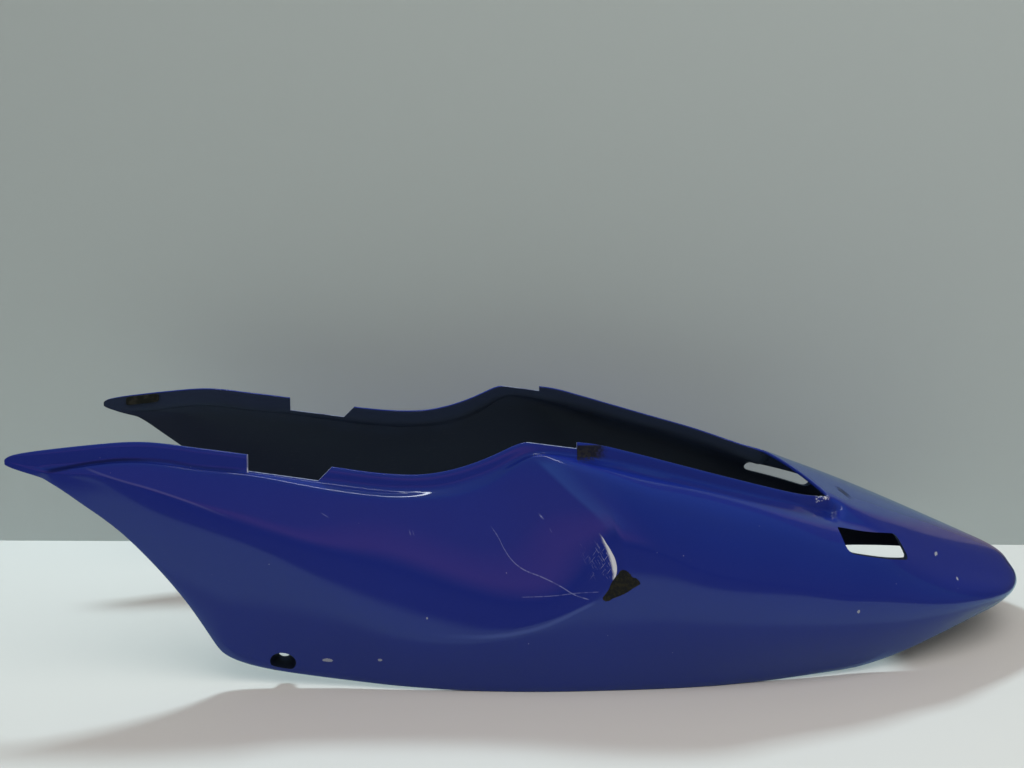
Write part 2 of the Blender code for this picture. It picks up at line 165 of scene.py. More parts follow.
class Shader:
    """A material or world node tree under construction."""

    def __init__(self, tree: bpy.types.NodeTree) -> None:
        """Takes over an existing node tree and keeps its nodes."""
        self.tree = tree

    @classmethod
    def material(cls, name: str) -> tuple["Shader", bpy.types.Material]:
        """Makes a new material with a Principled BSDF.

        Args:
            name: the material's name.

        Returns:
            Its shader and the material.
        """
        made = bpy.data.materials.new(name)
        made.use_nodes = True
        return cls(made.node_tree), made

    def node(
        self, kind: str, settings: Optional[dict] = None, inputs: Optional[dict] = None, out: Any = 0
    ) -> Sock:
        """Adds a node of any type.

        Args:
            kind: the node's type.
            settings: its properties, with "stops" for a ramp's stops and "points" for a curve's points.
            inputs: values or links by socket name or number.
            out: the name or number of the output to return.

        Returns:
            The chosen output.
        """
        node = self.tree.nodes.new(kind)
        for key, value in (settings or {}).items():
            if key == "stops":
                self._set_stops(node.color_ramp, value)
            elif key == "points":
                self._set_points(node.mapping, value)
            else:
                setattr(node, key, value)
        for key, value in (inputs or {}).items():
            self.link(node.inputs[key], value)
        return Sock(self, node.outputs[out])

    @staticmethod
    def _set_stops(ramp: bpy.types.ColorRamp, stops: Sequence[tuple[float, Any]]) -> None:
        """Sets a ramp's stops.

        Args:
            ramp: the colour ramp.
            stops: pairs of position and grey value or colour.
        """
        while len(ramp.elements) < len(stops):
            ramp.elements.new(0.5)
        for element, (place, value) in zip(ramp.elements, stops):
            colour = (value,) * 3 if isinstance(value, (int, float)) else value
            element.position = place
            element.color = (*colour, 1.0)

    @staticmethod
    def _set_points(mapping: bpy.types.CurveMapping, points: Sequence[tuple[float, float]]) -> None:
        """Sets the points of a Float Curve.

        Args:
            mapping: the node's curve mapping.
            points: pairs of input and value, from 0 to 1.
        """
        line = mapping.curves[0]
        while len(line.points) < len(points):
            line.points.new(0.5, 0.5)
        for point, place in zip(line.points, points):
            point.location = place
            point.handle_type = "AUTO_CLAMPED"
        mapping.update()

    def link(self, target: bpy.types.NodeSocket, value: Any) -> None:
        """Sets a socket to a value, or links it.

        Args:
            target: the input socket.
            value: a number, a colour, a vector or another socket.
        """
        if isinstance(value, Sock):
            self.tree.links.new(value.socket, target)
        elif isinstance(value, (tuple, list)) and len(value) == 3 and target.type == "RGBA":
            target.default_value = (*value, 1.0)
        else:
            target.default_value = value

    def surface(self, inputs: dict[str, Any]) -> None:
        """Sets sockets of the material's Principled BSDF.

        Args:
            inputs: values or links by socket name.
        """
        for key, value in inputs.items():
            self.link(self.tree.nodes["Principled BSDF"].inputs[key], value)

    def place(self) -> Sock:
        """Returns the point on the surface, in metres."""
        return self.node("ShaderNodeTexCoord", out="Object")

    def axes(self, point: Sock) -> tuple[Sock, Sock, Sock]:
        """Splits a point.

        Args:
            point: the point.

        Returns:
            Its three coordinates.
        """
        split = self.node("ShaderNodeSeparateXYZ", inputs={0: point})
        outputs = split.socket.node.outputs
        return split, Sock(self, outputs[1]), Sock(self, outputs[2])

    def stretch(self, point: Sock, scale: Triple, turn: Triple = (0.0, 0.0, 0.0)) -> Sock:
        """Returns the point turned and then scaled along each axis."""
        turned = self.node("ShaderNodeMapping", inputs={"Vector": point, "Rotation": turn})
        return self.node("ShaderNodeVectorMath", {"operation": "MULTIPLY"}, {0: turned, 1: scale})

    def noise(self, point: Sock, scale: float, detail: float = 3.0, rough: float = 0.55) -> Sock:
        """Returns a noise value from 0 to 1."""
        inputs = {"Vector": point, "Scale": scale, "Detail": detail, "Roughness": rough}
        return self.node("ShaderNodeTexNoise", inputs=inputs)

    def cells(self, point: Sock, scale: float) -> Sock:
        """Returns the distance to the nearest of scattered points."""
        return self.node("ShaderNodeTexVoronoi", inputs={"Vector": point, "Scale": scale}, out="Distance")

    def ramp(self, value: Sock, low: float, high: float, start: float = 0.0, end: float = 1.0) -> Sock:
        """Eases a value.

        Args:
            value: what is measured.
            low: where the result is start.
            high: where the result is end.
            start: the result at and below low.
            end: the result at and above high.

        Returns:
            A smooth step between start and end.
        """
        if low > high:
            low, high, start, end = high, low, end, start
        return self.node(
            "ShaderNodeMapRange",
            {"interpolation_type": "SMOOTHSTEP"},
            {"Value": value, "From Min": low, "From Max": high, "To Min": start, "To Max": end},
        )

    def within(self, value: Sock, span: Span) -> Sock:
        """Fades a mask in and out again.

        Args:
            value: what is measured.
            span: where the mask starts, is full, starts to fade and ends.

        Returns:
            The mask.
        """
        return self.ramp(value, span[0], span[1]) * self.ramp(value, span[3], span[2])

    def blend(self, share: Any, first: Any, second: Any) -> Sock:
        """Mixes two colours.

        Args:
            share: 0 for the first colour, 1 for the second.
            first: a colour or link.
            second: a colour or link.

        Returns:
            The mixed colour.
        """
        node = self.tree.nodes.new("ShaderNodeMix")
        node.data_type = "RGBA"
        for key, value in (("Factor_Float", share), ("A_Color", first), ("B_Color", second)):
            self.link(next(s for s in node.inputs if s.identifier == key), value)
        return Sock(self, next(s for s in node.outputs if s.identifier == "Result_Color"))

    def relief(self, height: Sock, depth: float, strength: float = 1.0, under: Optional[Sock] = None) -> Sock:
        """Turns a height into a normal.

        Args:
            height: the height, from 0 to 1.
            depth: how many metres a height of 1 stands for.
            strength: how much of the relief shows.
            under: a normal that this one is laid over.

        Returns:
            The bent normal.
        """
        inputs: dict[str, Any] = {"Height": height, "Distance": depth, "Strength": strength}
        if under is not None:
            inputs["Normal"] = under
        return self.node("ShaderNodeBump", inputs=inputs)

    def line(self, value: Sock, knots: Knots) -> Sock:
        """Reads a smooth line through knots.

        Args:
            value: the coordinate that the line runs along.
            knots: pairs of coordinate and result, in metres.

        Returns:
            The line's result at value.
        """
        first, last = knots[0][0], knots[-1][0]
        low = min(k[1] for k in knots)
        span = max(max(k[1] for k in knots) - low, 1e-6)
        points = [((a - first) / (last - first), (b - low) / span) for a, b in knots]
        share = (value - first) * (1.0 / (last - first))
        return self.node("ShaderNodeFloatCurve", {"points": points}, {"Value": share}) * span + low


# Finishes


@dataclass(frozen=True)
class Place:
    """A point on the moulding, as sockets, with an uneven edge for chips, dirt and the painted lines of
    highlight and shade.
    """

    point: Sock
    x: Sock
    y: Sock
    z: Sock
    edge: Sock
    rough_x: Sock
    rough_z: Sock


@dataclass(frozen=True)
class Scratch:
    """A scratch through the clear coat, as a line in the side view."""

    along: Axis
    knots: Knots
    width: float
    strength: float
    end_fade: float = 0.003

    def mask(self, shader: Shader, at: Place) -> Sock:
        """Draws the scratch.

        Args:
            shader: the paint's shader.
            at: the point on the surface.

        Returns:
            Its strength in the scratch and 0 off it.
        """
        run, across = (at.x, at.z) if self.along is Axis.X else (at.z, at.x)
        (start, first), (end, last) = self.knots[0], self.knots[-1]
        slope = math.atan((last - first) / (end - start))
        off = abs(across - shader.line(run, self.knots)) * math.cos(slope)
        ends = shader.within(run, (start, start + self.end_fade, end - self.end_fade, end))
        return shader.ramp(off, self.width * 0.5, self.width * 0.15) * ends * self.strength


@dataclass(frozen=True)
class Spot:
    """A small chip in the paint, as an oval in the side view."""

    x: float
    z: float
    width: float
    height: float
    rim: Pair = (1.15, 0.85)

    def mask(self, shader: Shader, at: Place) -> Sock:
        """Draws the chip.

        Args:
            shader: the paint's shader.
            at: the point on the surface.

        Returns:
            1 in the chip and 0 off it.
        """
        across, up = (at.rough_x - self.x) * (2 / self.width), (at.rough_z - self.z) * (2 / self.height)
        return shader.ramp(across * across + up * up, *self.rim)


@dataclass(frozen=True)
class Trace:
    """A soft line that follows a crease of the moulding in the side view, used for painted highlights and
    painted shade.
    """

    knots: Knots
    waver: float
    reach: Pair
    span: Span

    def mask(self, shader: Shader, at: Place) -> Sock:
        """Draws the line.

        Args:
            shader: the paint's shader.
            at: the point on the surface.

        Returns:
            1 on the line and 0 off it.
        """
        off = abs(at.z - shader.line(at.x, self.knots) + at.edge * self.waver)
        return shader.ramp(off, *self.reach) * shader.within(at.x, self.span)


@dataclass(frozen=True)
class BluePaint:
    """Gloss blue lacquer, scratched and chipped down to the black plastic, with painted highlights along its
    crests and painted shade in the wing's step.
    """

    colour: Colour = (0.0068, 0.0190, 0.208)
    deep: Colour = (0.0054, 0.0152, 0.180)
    plastic: Colour = (0.011, 0.0115, 0.012)
    plastic_olive: Colour = (0.023, 0.022, 0.013)
    primer: Colour = (0.34, 0.36, 0.40)
    scuffed: Colour = (0.62, 0.63, 0.68)
    fine_scuffed: Colour = (0.42, 0.43, 0.58)
    scratched: Colour = (0.28, 0.31, 0.55)
    dusty: Colour = (0.20, 0.22, 0.30)
    # Painted highlight: the paler blue behind the ridge's crest, where the rear body faces up.
    crest_highlight_colour: Colour = (0.030, 0.100, 0.370)
    # Painted highlight along the lower lip of the thigh recess.
    lip_highlight_colour: Colour = (0.060, 0.095, 0.330)
    # Painted highlight along the wing's crease.
    wing_highlight_colour: Colour = (0.105, 0.115, 0.300)
    # Painted shade in the step under the wing's flange.
    step_shade_colour: Colour = (0.0035, 0.0060, 0.050)
    smudged: Colour = (0.010, 0.011, 0.020)
    left_side: Pair = (-0.001, -0.004)
    edge_grain: Triple = (420.0, 3.0, 0.65)
    ragged: float = 0.0022
    scratches: tuple[Scratch, ...] = (
        Scratch(
            Axis.X,
            (
                (-0.0649, 0.1293), (-0.0597, 0.1221), (-0.0539, 0.1113), (-0.0487, 0.1042), (-0.0428, 0.0992),
                (-0.0377, 0.0965), (-0.0267, 0.0926), (-0.0135, 0.0866), (-0.0026, 0.0806), (0.0083, 0.0774),
            ),
            0.0010,
            0.50,
        ),
        Scratch(
            Axis.X,
            ((-0.0429, 0.0774), (-0.0209, 0.0790), (0.0010, 0.0823), (0.0156, 0.0836)),
            0.0009,
            0.36,
        ),
        Scratch(Axis.Z, ((0.1342, -0.0250), (0.1398, -0.0294)), 0.0015, 0.85),
        Scratch(Axis.Z, ((0.1250, -0.0192), (0.1293, -0.0214)), 0.0011, 0.6),
        Scratch(Axis.Z, ((0.1200, -0.1236), (0.1262, -0.1252)), 0.0010, 0.35),
        Scratch(Axis.Z, ((0.1205, -0.1212), (0.1258, -0.1228)), 0.0009, 0.3),
        Scratch(Axis.X, ((-0.1914, 0.1377), (-0.1840, 0.1333)), 0.0010, 0.3),
    )
    spots: tuple[Spot, ...] = (
        Spot(-0.1869, 0.0228, 0.0080, 0.0027),
        Spot(-0.1473, 0.0254, 0.0034, 0.0019),
        Spot(-0.1119, 0.0604, 0.0016, 0.0016),
        Spot(0.3128, 0.0820, 0.0044, 0.0017),
        Spot(0.2198, 0.0588, 0.0024, 0.0024),
        Spot(0.3236, 0.0662, 0.0018, 0.0018),
    )
    crescent: Knots = (
        (0.0928, 0.0253), (0.0966, 0.0271), (0.1011, 0.0276), (0.1056, 0.0270), (0.1092, 0.0259),
        (0.1128, 0.0241), (0.1167, 0.0219), (0.1199, 0.0197), (0.1234, 0.0176), (0.1275, 0.0148),
    )
    crescent_width: Knots = (
        (0.0920, 0.0004), (0.0966, 0.0022), (0.1011, 0.0034), (0.1056, 0.0040), (0.1092, 0.0038),
        (0.1150, 0.0028), (0.1199, 0.0018), (0.1275, 0.0003),
    )
    crescent_z: Span = (0.0915, 0.0950, 0.1225, 0.1275)
    crescent_crest: Pair = (-0.0003, 0.0001)
    crescent_rim: Pair = (0.0008, -0.0016)
    streaks: tuple[Triple, Triple] = ((900.0, 60.0, 160.0), (0.0, 0.5, 0.0))
    streak_grain: Triple = (1.0, 2.0, 0.7)
    streak_reach: float = 0.0024
    streak_cut: Pair = (0.58, 0.72)
    hatch: tuple[Triple, Triple] = ((1500.0, 60.0, 90.0), (0.0, -0.62, 0.0))
    hatch_grain: Triple = (1.0, 1.0, 0.5)
    hatch_cut: Pair = (0.64, 0.72)
    scuff_reach: Span = (-0.0002, 0.0006, 0.0040, 0.0270)
    scuff_z: Span = (0.0900, 0.1000, 0.1100, 0.1230)
    # Where the painted highlight behind the ridge's crest lies.
    crest_line: Knots = ((0.1250, 0.0240), (0.1364, 0.0155), (0.1521, -0.0024), (0.1739, -0.0268))
    crest_reach: Span = (-0.0030, 0.0030, 0.0020, 0.0240)
    crest_z: Span = (0.1230, 0.1450, 0.1730, 0.1790)
    # Painted highlight line along the wing's crease.
    wing_highlight_line: Trace = Trace(
        (
            (-0.3690, 0.1712), (-0.3388, 0.1610), (-0.3153, 0.1545), (-0.2874, 0.1450), (-0.2609, 0.1348),
            (-0.2358, 0.1260),
        ),
        0.0004,
        (0.0013, 0.0002),
        (-0.3660, -0.3580, -0.2900, -0.2500),
    )
    # Painted highlight line along the lower lip of the thigh recess.
    lip_highlight_line: Trace = Trace(
        (
            (-0.1320, 0.0496), (-0.1097, 0.0479), (-0.0800, 0.0471), (-0.0578, 0.0485), (-0.0430, 0.0512),
            (-0.0283, 0.0554), (-0.0136, 0.0618), (0.0010, 0.0698), (0.0156, 0.0776),
        ),
        0.0006,
        (0.0026, 0.0003),
        (-0.1150, -0.0500, 0.0060, 0.0150),
    )
    # Painted shade line in the step under the wing's flange.
    step_shade_line: Trace = Trace(
        (
            (-0.3990, 0.1662), (-0.3860, 0.1680), (-0.3700, 0.1712), (-0.3540, 0.1736), (-0.3310, 0.1752),
            (-0.2800, 0.1694), (-0.2457, 0.1662),
        ),
        0.0008,
        (0.0022, 0.0004),
        (-0.3960, -0.3880, -0.2600, -0.2440),
    )
    # Where the painted step shade weakens towards the rear.
    step_shade_fade_x: Pair = (-0.3400, -0.3100)
    patch_top: Knots = (
        (0.0172, 0.0790), (0.0213, 0.0848), (0.0238, 0.0906), (0.0282, 0.0969), (0.0318, 0.1005),
        (0.0371, 0.0982), (0.0390, 0.0956), (0.0440, 0.0929), (0.0450, 0.0898),
    )
    patch_bottom: Knots = (
        (0.0172, 0.0790), (0.0206, 0.0768), (0.0251, 0.0788), (0.0344, 0.0828), (0.0400, 0.0867),
        (0.0450, 0.0898),
    )
    patch_rim: Pair = (-0.0003, 0.0003)
    flange_patch_front: Pair = (0.0012, 0.0016)
    flange_patch_rear: Pair = (0.0270, 0.0160)
    flange_patch_foot: Pair = (0.1745, 0.1775)
    flange_patch_top: Pair = (0.1868, 0.1858)
    flange_patch_ragged: Pair = (0.016, 0.006)
    notch_x: float = -0.2457
    notch_reach: Pair = (0.0009, 0.0004)
    notch_foot: Pair = (0.1650, 0.1662)
    notch_fade: Pair = (0.1675, 0.1700)
    broken_x: Span = (0.2025, 0.2040, 0.2170, 0.2195)
    broken_y: Pair = (-0.090, -0.092)
    broken_z: Pair = (0.1297, 0.1306)
    broken_edge: Pair = (-0.02, 0.10)
    smudge_place: Pair = (0.2444, -0.0575)
    smudge_size: Pair = (0.0042, 0.0160)
    smudge_z: Pair = (0.117, 0.120)
    smudge_rim: Pair = (1.2, 0.2)
    smudge_ragged: float = 2.0
    dust_scale: float = 1400.0
    dust_cut: Pair = (0.62, 0.80)
    hairlines: tuple[Triple, Triple] = ((260.0, 40.0, 2600.0), (0.0, 0.35, 0.2))
    hairline_grain: Triple = (1.0, 2.0, 0.6)
    hairline_cut: Pair = (0.66, 0.74)
    speck_scale: float = 85.0
    speck_size: Pair = (0.040, 0.022)
    speck_patches: float = 30.0
    speck_cut: Pair = (0.63, 0.69)
    chip_relief: Pair = (0.00025, 0.8)
    peel_scales: Pair = (330.0, 60.0)
    peel_relief: Pair = (0.00004, 0.25)
    plastic_grain: Pair = (2200.0, 2.0)
    plastic_relief: Pair = (0.0001, 0.5)
    scratch_grain: Pair = (260.0, 2.0)
    scratch_breaks: Span = (0.36, 0.52, 0.35, 1.0)
    olive_share: Pair = (-0.08, 0.14)
    mottle: Pair = (9.0, 2.0)
    roughness: Pair = (0.42, 0.62)
    coat_roughness: float = 0.045
    # How much clear coat the painted step shade and the real smudge take away.
    shade_and_smudge_coat_loss: float = 0.75

    def _place(self, shader: Shader) -> Place:
        """Finds the point on the surface, with its uneven edge.

        Args:
            shader: the paint's shader.

        Returns:
            The point.
        """
        point = shader.place()
        x, y, z = shader.axes(point)
        edge = shader.noise(point, *self.edge_grain) - 0.5
        return Place(point, x, y, z, edge, x + edge * self.ragged, z + edge * self.ragged)

    def _bare_patch(self, shader: Shader, at: Place) -> Sock:
        """Draws the patch where the lacquer has broken away beside the crescent.

        Args:
            shader: the paint's shader.
            at: the point on the surface.

        Returns:
            1 on bare plastic and 0 on lacquer.
        """
        x, z = at.rough_x, at.rough_z
        inside = shader.ramp(shader.line(x, self.patch_top) - z, *self.patch_rim)
        inside = inside * shader.ramp(z - shader.line(x, self.patch_bottom), *self.patch_rim)
        return inside * (x > self.patch_top[0][0]) * (x < self.patch_top[-1][0])

    def _flange_patch(self, shader: Shader, at: Place) -> Sock:
        """Draws the bare stretch of flange behind its step.

        Args:
            shader: the paint's shader.
            at: the point on the surface.

        Returns:
            1 on bare plastic and 0 on lacquer.
        """
        ragged_x, ragged_z = self.flange_patch_ragged
        along = shader.ramp(at.rough_x, *self.flange_patch_front)
        along = along * shader.ramp(at.x + at.edge * ragged_x, *self.flange_patch_rear)
        up = shader.ramp(at.z + at.edge * ragged_z, *self.flange_patch_foot)
        return along * up * shader.ramp(at.z, *self.flange_patch_top)

    def _crescent(self, shader: Shader, at: Place) -> tuple[Sock, Sock]:
        """Draws the rubbed crest of the thigh recess.

        Args:
            shader: the paint's shader.
            at: the point on the surface.

        Returns:
            Masks of the white rubbed band and of the fine scuffs ahead of it.
        """
        ahead = shader.line(at.z, self.crescent) - at.x
        streaks = shader.noise(shader.stretch(at.point, *self.streaks), *self.streak_grain)
        ragged = ahead + (streaks - 0.5) * self.streak_reach - shader.line(at.z, self.crescent_width)
        band = shader.ramp(ahead, *self.crescent_crest) * shader.ramp(ragged, *self.crescent_rim)
        reach = shader.within(ahead, self.scuff_reach) * shader.within(at.z, self.scuff_z)
        hatch = shader.noise(shader.stretch(at.point, *self.hatch), *self.hatch_grain)
        fine = shader.ramp(streaks, *self.streak_cut) | shader.ramp(hatch, *self.hatch_cut)
        return band * shader.within(at.z, self.crescent_z), reach * fine

    def _white_edges(self, shader: Shader, at: Place) -> Sock:
        """Draws the edge of the notch and the broken corner of the flange, both rubbed white.

        Args:
            shader: the paint's shader.
            at: the point on the surface.

        Returns:
            How white the paint is.
        """
        notch = shader.ramp(abs(at.x - self.notch_x), *self.notch_reach) * shader.ramp(at.z, *self.notch_foot)
        notch = notch * shader.ramp(at.rough_z, *self.notch_fade, 1.0, 0.3)
        broken = shader.within(at.x, self.broken_x) * shader.ramp(at.rough_z, *self.broken_z)
        broken = broken * shader.ramp(at.edge, *self.broken_edge) * shader.ramp(at.y, *self.broken_y)
        return notch * 0.8 | broken * 0.9

    def _smudge(self, shader: Shader, at: Place) -> Sock:
        """Draws the dark smudge on top of the tail.

        Args:
            shader: the paint's shader.
            at: the point on the surface.

        Returns:
            1 in the smudge and 0 off it.
        """
        along = (at.x - self.smudge_place[0]) * (1 / self.smudge_size[0])
        across = (at.y - self.smudge_place[1]) * (1 / self.smudge_size[1])
        off = along * along + across * across + at.edge * self.smudge_ragged
        return shader.ramp(off, *self.smudge_rim) * shader.ramp(at.z, *self.smudge_z)

    def _painted_crest_highlight(self, shader: Shader, at: Place) -> Sock:
        """Draws a painted highlight: the paler blue behind the crest of the ridge.

        Args:
            shader: the paint's shader.
            at: the point on the surface.

        Returns:
            1 where it is palest and 0 off it.
        """
        behind = at.x - shader.line(at.z, self.crest_line)
        return shader.within(behind, self.crest_reach) * shader.within(at.z, self.crest_z)

    def _fine_wear(self, shader: Shader, point: Sock) -> tuple[Sock, Sock]:
        """Draws what covers the whole lacquer.

        Args:
            shader: the paint's shader.
            point: the point on the surface.

        Returns:
            Masks of the hairlines with dust, and of the specks.
        """
        dust = shader.noise(point, self.dust_scale, 1.0)
        hair = shader.noise(shader.stretch(point, *self.hairlines), *self.hairline_grain)
        hair = shader.ramp(hair, *self.hairline_cut)
        patches = shader.ramp(shader.noise(point, self.speck_patches, 0.0), *self.speck_cut)
        specks = shader.ramp(shader.cells(point, self.speck_scale), *self.speck_size) * patches
        return hair * 0.06 + shader.ramp(dust, *self.dust_cut) * 0.035, specks

    def _relief(self, shader: Shader, point: Sock, height: Sock, bare: Sock) -> Sock:
        """Shapes the surface.

        Args:
            shader: the paint's shader.
            point: the point on the surface.
            height: the height of the lacquer, from 0 to 1.
            bare: the mask of the bare plastic.

        Returns:
            The normal, with chips, orange peel and the grain of the bare plastic.
        """
        normal = shader.relief(height, *self.chip_relief)
        fine, broad = self.peel_scales
        peel = shader.noise(point, fine, 1.0) + shader.noise(point, broad, 0.0) * 2.0
        normal = shader.relief(peel, *self.peel_relief, normal)
        grain = shader.noise(point, *self.plastic_grain) * bare
        return shader.relief(grain, *self.plastic_relief, normal)

    def material(self) -> bpy.types.Material:
        """Returns the lacquer as a material."""
        shader, made = Shader.material("blue_lacquer")
        at = self._place(shader)
        left = shader.ramp(at.y, *self.left_side)
        scratches: Any = 0.0
        for scratch in self.scratches:
            scratches = scratches | scratch.mask(shader, at)
        breaks = shader.ramp(shader.noise(at.point, *self.scratch_grain), *self.scratch_breaks)
        scratches = scratches * breaks * left
        spots: Any = 0.0
        for spot in self.spots:
            spots = spots | spot.mask(shader, at)
        spots = spots * left

        patch = self._bare_patch(shader, at)
        bare = (patch | self._flange_patch(shader, at) * 0.94) * left
        band, scuffs = (mask * left * (1 - patch) for mask in self._crescent(shader, at))
        white = band | self._white_edges(shader, at) * left
        smudge = self._smudge(shader, at)
        # Painted shade in the step under the wing's flange, weaker towards the rear.
        painted_step_shade = self.step_shade_line.mask(shader, at) * shader.ramp(at.x, *self.step_shade_fade_x, 1.0, 0.55)
        fine, specks = self._fine_wear(shader, at.point)
        exposed = shader.blend(shader.ramp(at.edge, *self.olive_share), self.plastic, self.plastic_olive)

        colour = shader.blend(shader.noise(at.point, *self.mottle), self.deep, self.colour)
        # The crest, lip and wing layers are painted highlights, and the step layer is painted shade.
        layers = (
            (fine, self.dusty),
            (self._painted_crest_highlight(shader, at) * left * 0.30, self.crest_highlight_colour),
            (self.lip_highlight_line.mask(shader, at) * left * 0.40, self.lip_highlight_colour),
            (self.wing_highlight_line.mask(shader, at) * left * 0.34, self.wing_highlight_colour),
            (painted_step_shade * 0.80, self.step_shade_colour),
            (specks * 0.35, self.scuffed),
            (smudge * left * 0.85, self.smudged),
            (scratches, self.scratched),
            (scuffs * 0.55, self.fine_scuffed),
            (spots * 0.85, self.primer),
            (bare, exposed),
            (white, self.scuffed),
        )
        for mask, tone in layers:
            colour = shader.blend(mask, colour, tone)
        dull = bare | white | spots | (scratches * 0.6) | (scuffs * 0.5)
        height = (1 - bare) * 0.5 + (1 - spots) * 0.25 + (1 - scratches) * 0.25
        shader.surface(
            {
                "Base Color": colour,
                "Roughness": shader.ramp(dull, 0.0, 1.0, *self.roughness),
                "Specular IOR Level": 0.1,
                "Coat Weight": (1 - dull) * (1 - (painted_step_shade | smudge) * self.shade_and_smudge_coat_loss),
                "Coat Roughness": self.coat_roughness,
                "Normal": self._relief(shader, at.point, height, bare),
            }
        )
        return made


@dataclass(frozen=True)
class BarePlastic:
    """The unpainted black inside, with blue overspray along the rim."""

    colour: Colour = (0.0046, 0.0070, 0.0158)
    overspray: Colour = (0.0120, 0.0200, 0.0480)
    flowed: Colour = (0.0070, 0.0100, 0.0220)
    rubbed: Colour = (0.10, 0.10, 0.11)
    patches: Triple = (26.0, 4.0, 0.6)
    spray_ragged: float = 0.020
    spray_fade: Pair = (0.030, 0.008)
    grain_scale: float = 1500.0
    grain_share: Span = (0.30, 0.60, 0.55, 1.0)
    flow_stretch: Triple = (6.0, 10.0, 30.0)
    rub_stretch: Triple = (120.0, 30.0, 900.0)
    rub_cut: Pair = (0.62, 0.74)
    grain_relief: Pair = (0.00012, 0.35)
    flow_relief: Pair = (0.0010, 0.15)
    flow_roughness: Span = (0.3, 0.7, 0.42, 0.55)
    rim: Knots = (
        (-0.4240, 0.1755), (-0.3540, 0.1868), (-0.3280, 0.1887), (-0.2457, 0.1788), (-0.1400, 0.1644),
        (-0.0940, 0.1678), (-0.0397, 0.1892), (0.0010, 0.1890), (0.0990, 0.1643), (0.2185, 0.1325),
        (0.3000, 0.1000),
    )

    def material(self) -> bpy.types.Material:
        """Returns the bare inner face as a material."""
        shader, made = Shader.material("bare_black_plastic")
        point = shader.place()
        x, _, z = shader.axes(point)
        below = shader.line(x, self.rim) - z
        patchy = shader.noise(point, *self.patches)
        spray = shader.ramp(below + (patchy - 0.5) * self.spray_ragged, *self.spray_fade)
        grains = shader.noise(point, self.grain_scale, 1.0)
        spray = spray * shader.ramp(grains, *self.grain_share)
        flow = shader.noise(shader.stretch(point, self.flow_stretch), 1.0, 4.0)
        rubbed = shader.noise(shader.stretch(point, self.rub_stretch), 1.0, 3.0)
        rubbed = shader.ramp(rubbed, *self.rub_cut)
        colour = shader.blend(flow, self.colour, self.flowed)
        colour = shader.blend(spray * 0.9, colour, self.overspray)
        colour = shader.blend(rubbed * 0.10, colour, self.rubbed)
        normal = shader.relief(grains, *self.grain_relief)
        normal = shader.relief(flow, *self.flow_relief, normal)
        rough = shader.ramp(flow, *self.flow_roughness) + spray * 0.10 + rubbed * 0.05
        inputs = {"Base Color": colour, "Roughness": rough, "Specular IOR Level": 0.28, "Normal": normal}
        shader.surface(inputs)
        return made


@dataclass(frozen=True)
class RubbedEdge:
    """A cut edge with its lacquer rubbed pale."""

    colour: Colour = (0.020, 0.030, 0.150)
    rubbed: Colour = (0.24, 0.27, 0.40)
    patches: Triple = (240.0, 3.0, 0.7)
    rub_cut: Pair = (0.34, 0.56)
    relief: Pair = (0.0004, 0.6)

    def material(self) -> bpy.types.Material:
        """Returns the rubbed edge as a material."""
        shader, made = Shader.material("rubbed_edge")
        point = shader.place()
        patchy = shader.noise(point, *self.patches)
        colour = shader.blend(shader.ramp(patchy, *self.rub_cut), self.colour, self.rubbed)
        normal = shader.relief(patchy, *self.relief)
        inputs = {"Base Color": colour, "Roughness": 0.5, "Specular IOR Level": 0.3, "Normal": normal}
        shader.surface(inputs)
        return made


@dataclass(frozen=True)
class Foam:
    """Closed-cell sealing foam, black gone brown."""

    colour: Colour = (0.0100, 0.0110, 0.0090)
    worn: Colour = (0.0260, 0.0250, 0.0200)
    pores: Colour = (0.004, 0.004, 0.004)
    cell_scale: float = 1500.0
    patch_scale: float = 160.0
    wear: Pair = (0.42, 0.68)
    pore_size: Pair = (0.25, 0.0)
    cell_relief: Pair = (0.0004, 0.8)
    patch_relief: Pair = (0.0012, 0.4)

    def material(self) -> bpy.types.Material:
        """Returns the foam as a material."""
        shader, made = Shader.material("sealing_foam")
        point = shader.place()
        cells = shader.cells(point, self.cell_scale)
        patchy = shader.noise(point, self.patch_scale, 4.0)
        colour = shader.blend(shader.ramp(patchy, *self.wear), self.colour, self.worn)
        colour = shader.blend(shader.ramp(cells, *self.pore_size), colour, self.pores)
        normal = shader.relief(cells, *self.cell_relief)
        normal = shader.relief(patchy, *self.patch_relief, normal)
        inputs = {"Base Color": colour, "Roughness": 0.95, "Specular IOR Level": 0.2, "Normal": normal}
        shader.surface(inputs)
        return made


# Moulding


def knots_at(knots: Knots, x: float) -> float:
    """Reads the smooth line through knots, which never overshoots them.

    Args:
        knots: pairs of x and value.
        x: where the line is read.

    Returns:
        The line's value.
    """
    xs = np.array([k[0] for k in knots])
    ys = np.array([k[1] for k in knots])
    if x <= xs[0]:
        return float(ys[0])
    if x >= xs[-1]:
        return float(ys[-1])
    width = np.diff(xs)
    rise = np.diff(ys) / width
    slope = np.zeros(len(xs))
    for i in range(1, len(xs) - 1):
        if rise[i - 1] * rise[i] > 0:
            before, after = 2 * width[i] + width[i - 1], width[i] + 2 * width[i - 1]
            slope[i] = (before + after) / (before / rise[i - 1] + after / rise[i])
    slope[0], slope[-1] = rise[0], rise[-1]
    i = int(np.searchsorted(xs, x)) - 1
    t = (x - xs[i]) / width[i]
    return float(
        ys[i] * (1 + 2 * t) * (1 - t) ** 2
        + slope[i] * width[i] * t * (1 - t) ** 2
        + ys[i + 1] * t * t * (3 - 2 * t)
        + slope[i + 1] * width[i] * t * t * (t - 1)
    )


def ease(low: float, high: float, value: float) -> float:
    """Returns a smooth step from 0 at low to 1 at high."""
    t = min(1.0, max(0.0, (value - low) / (high - low)))
    return t * t * (3 - 2 * t)


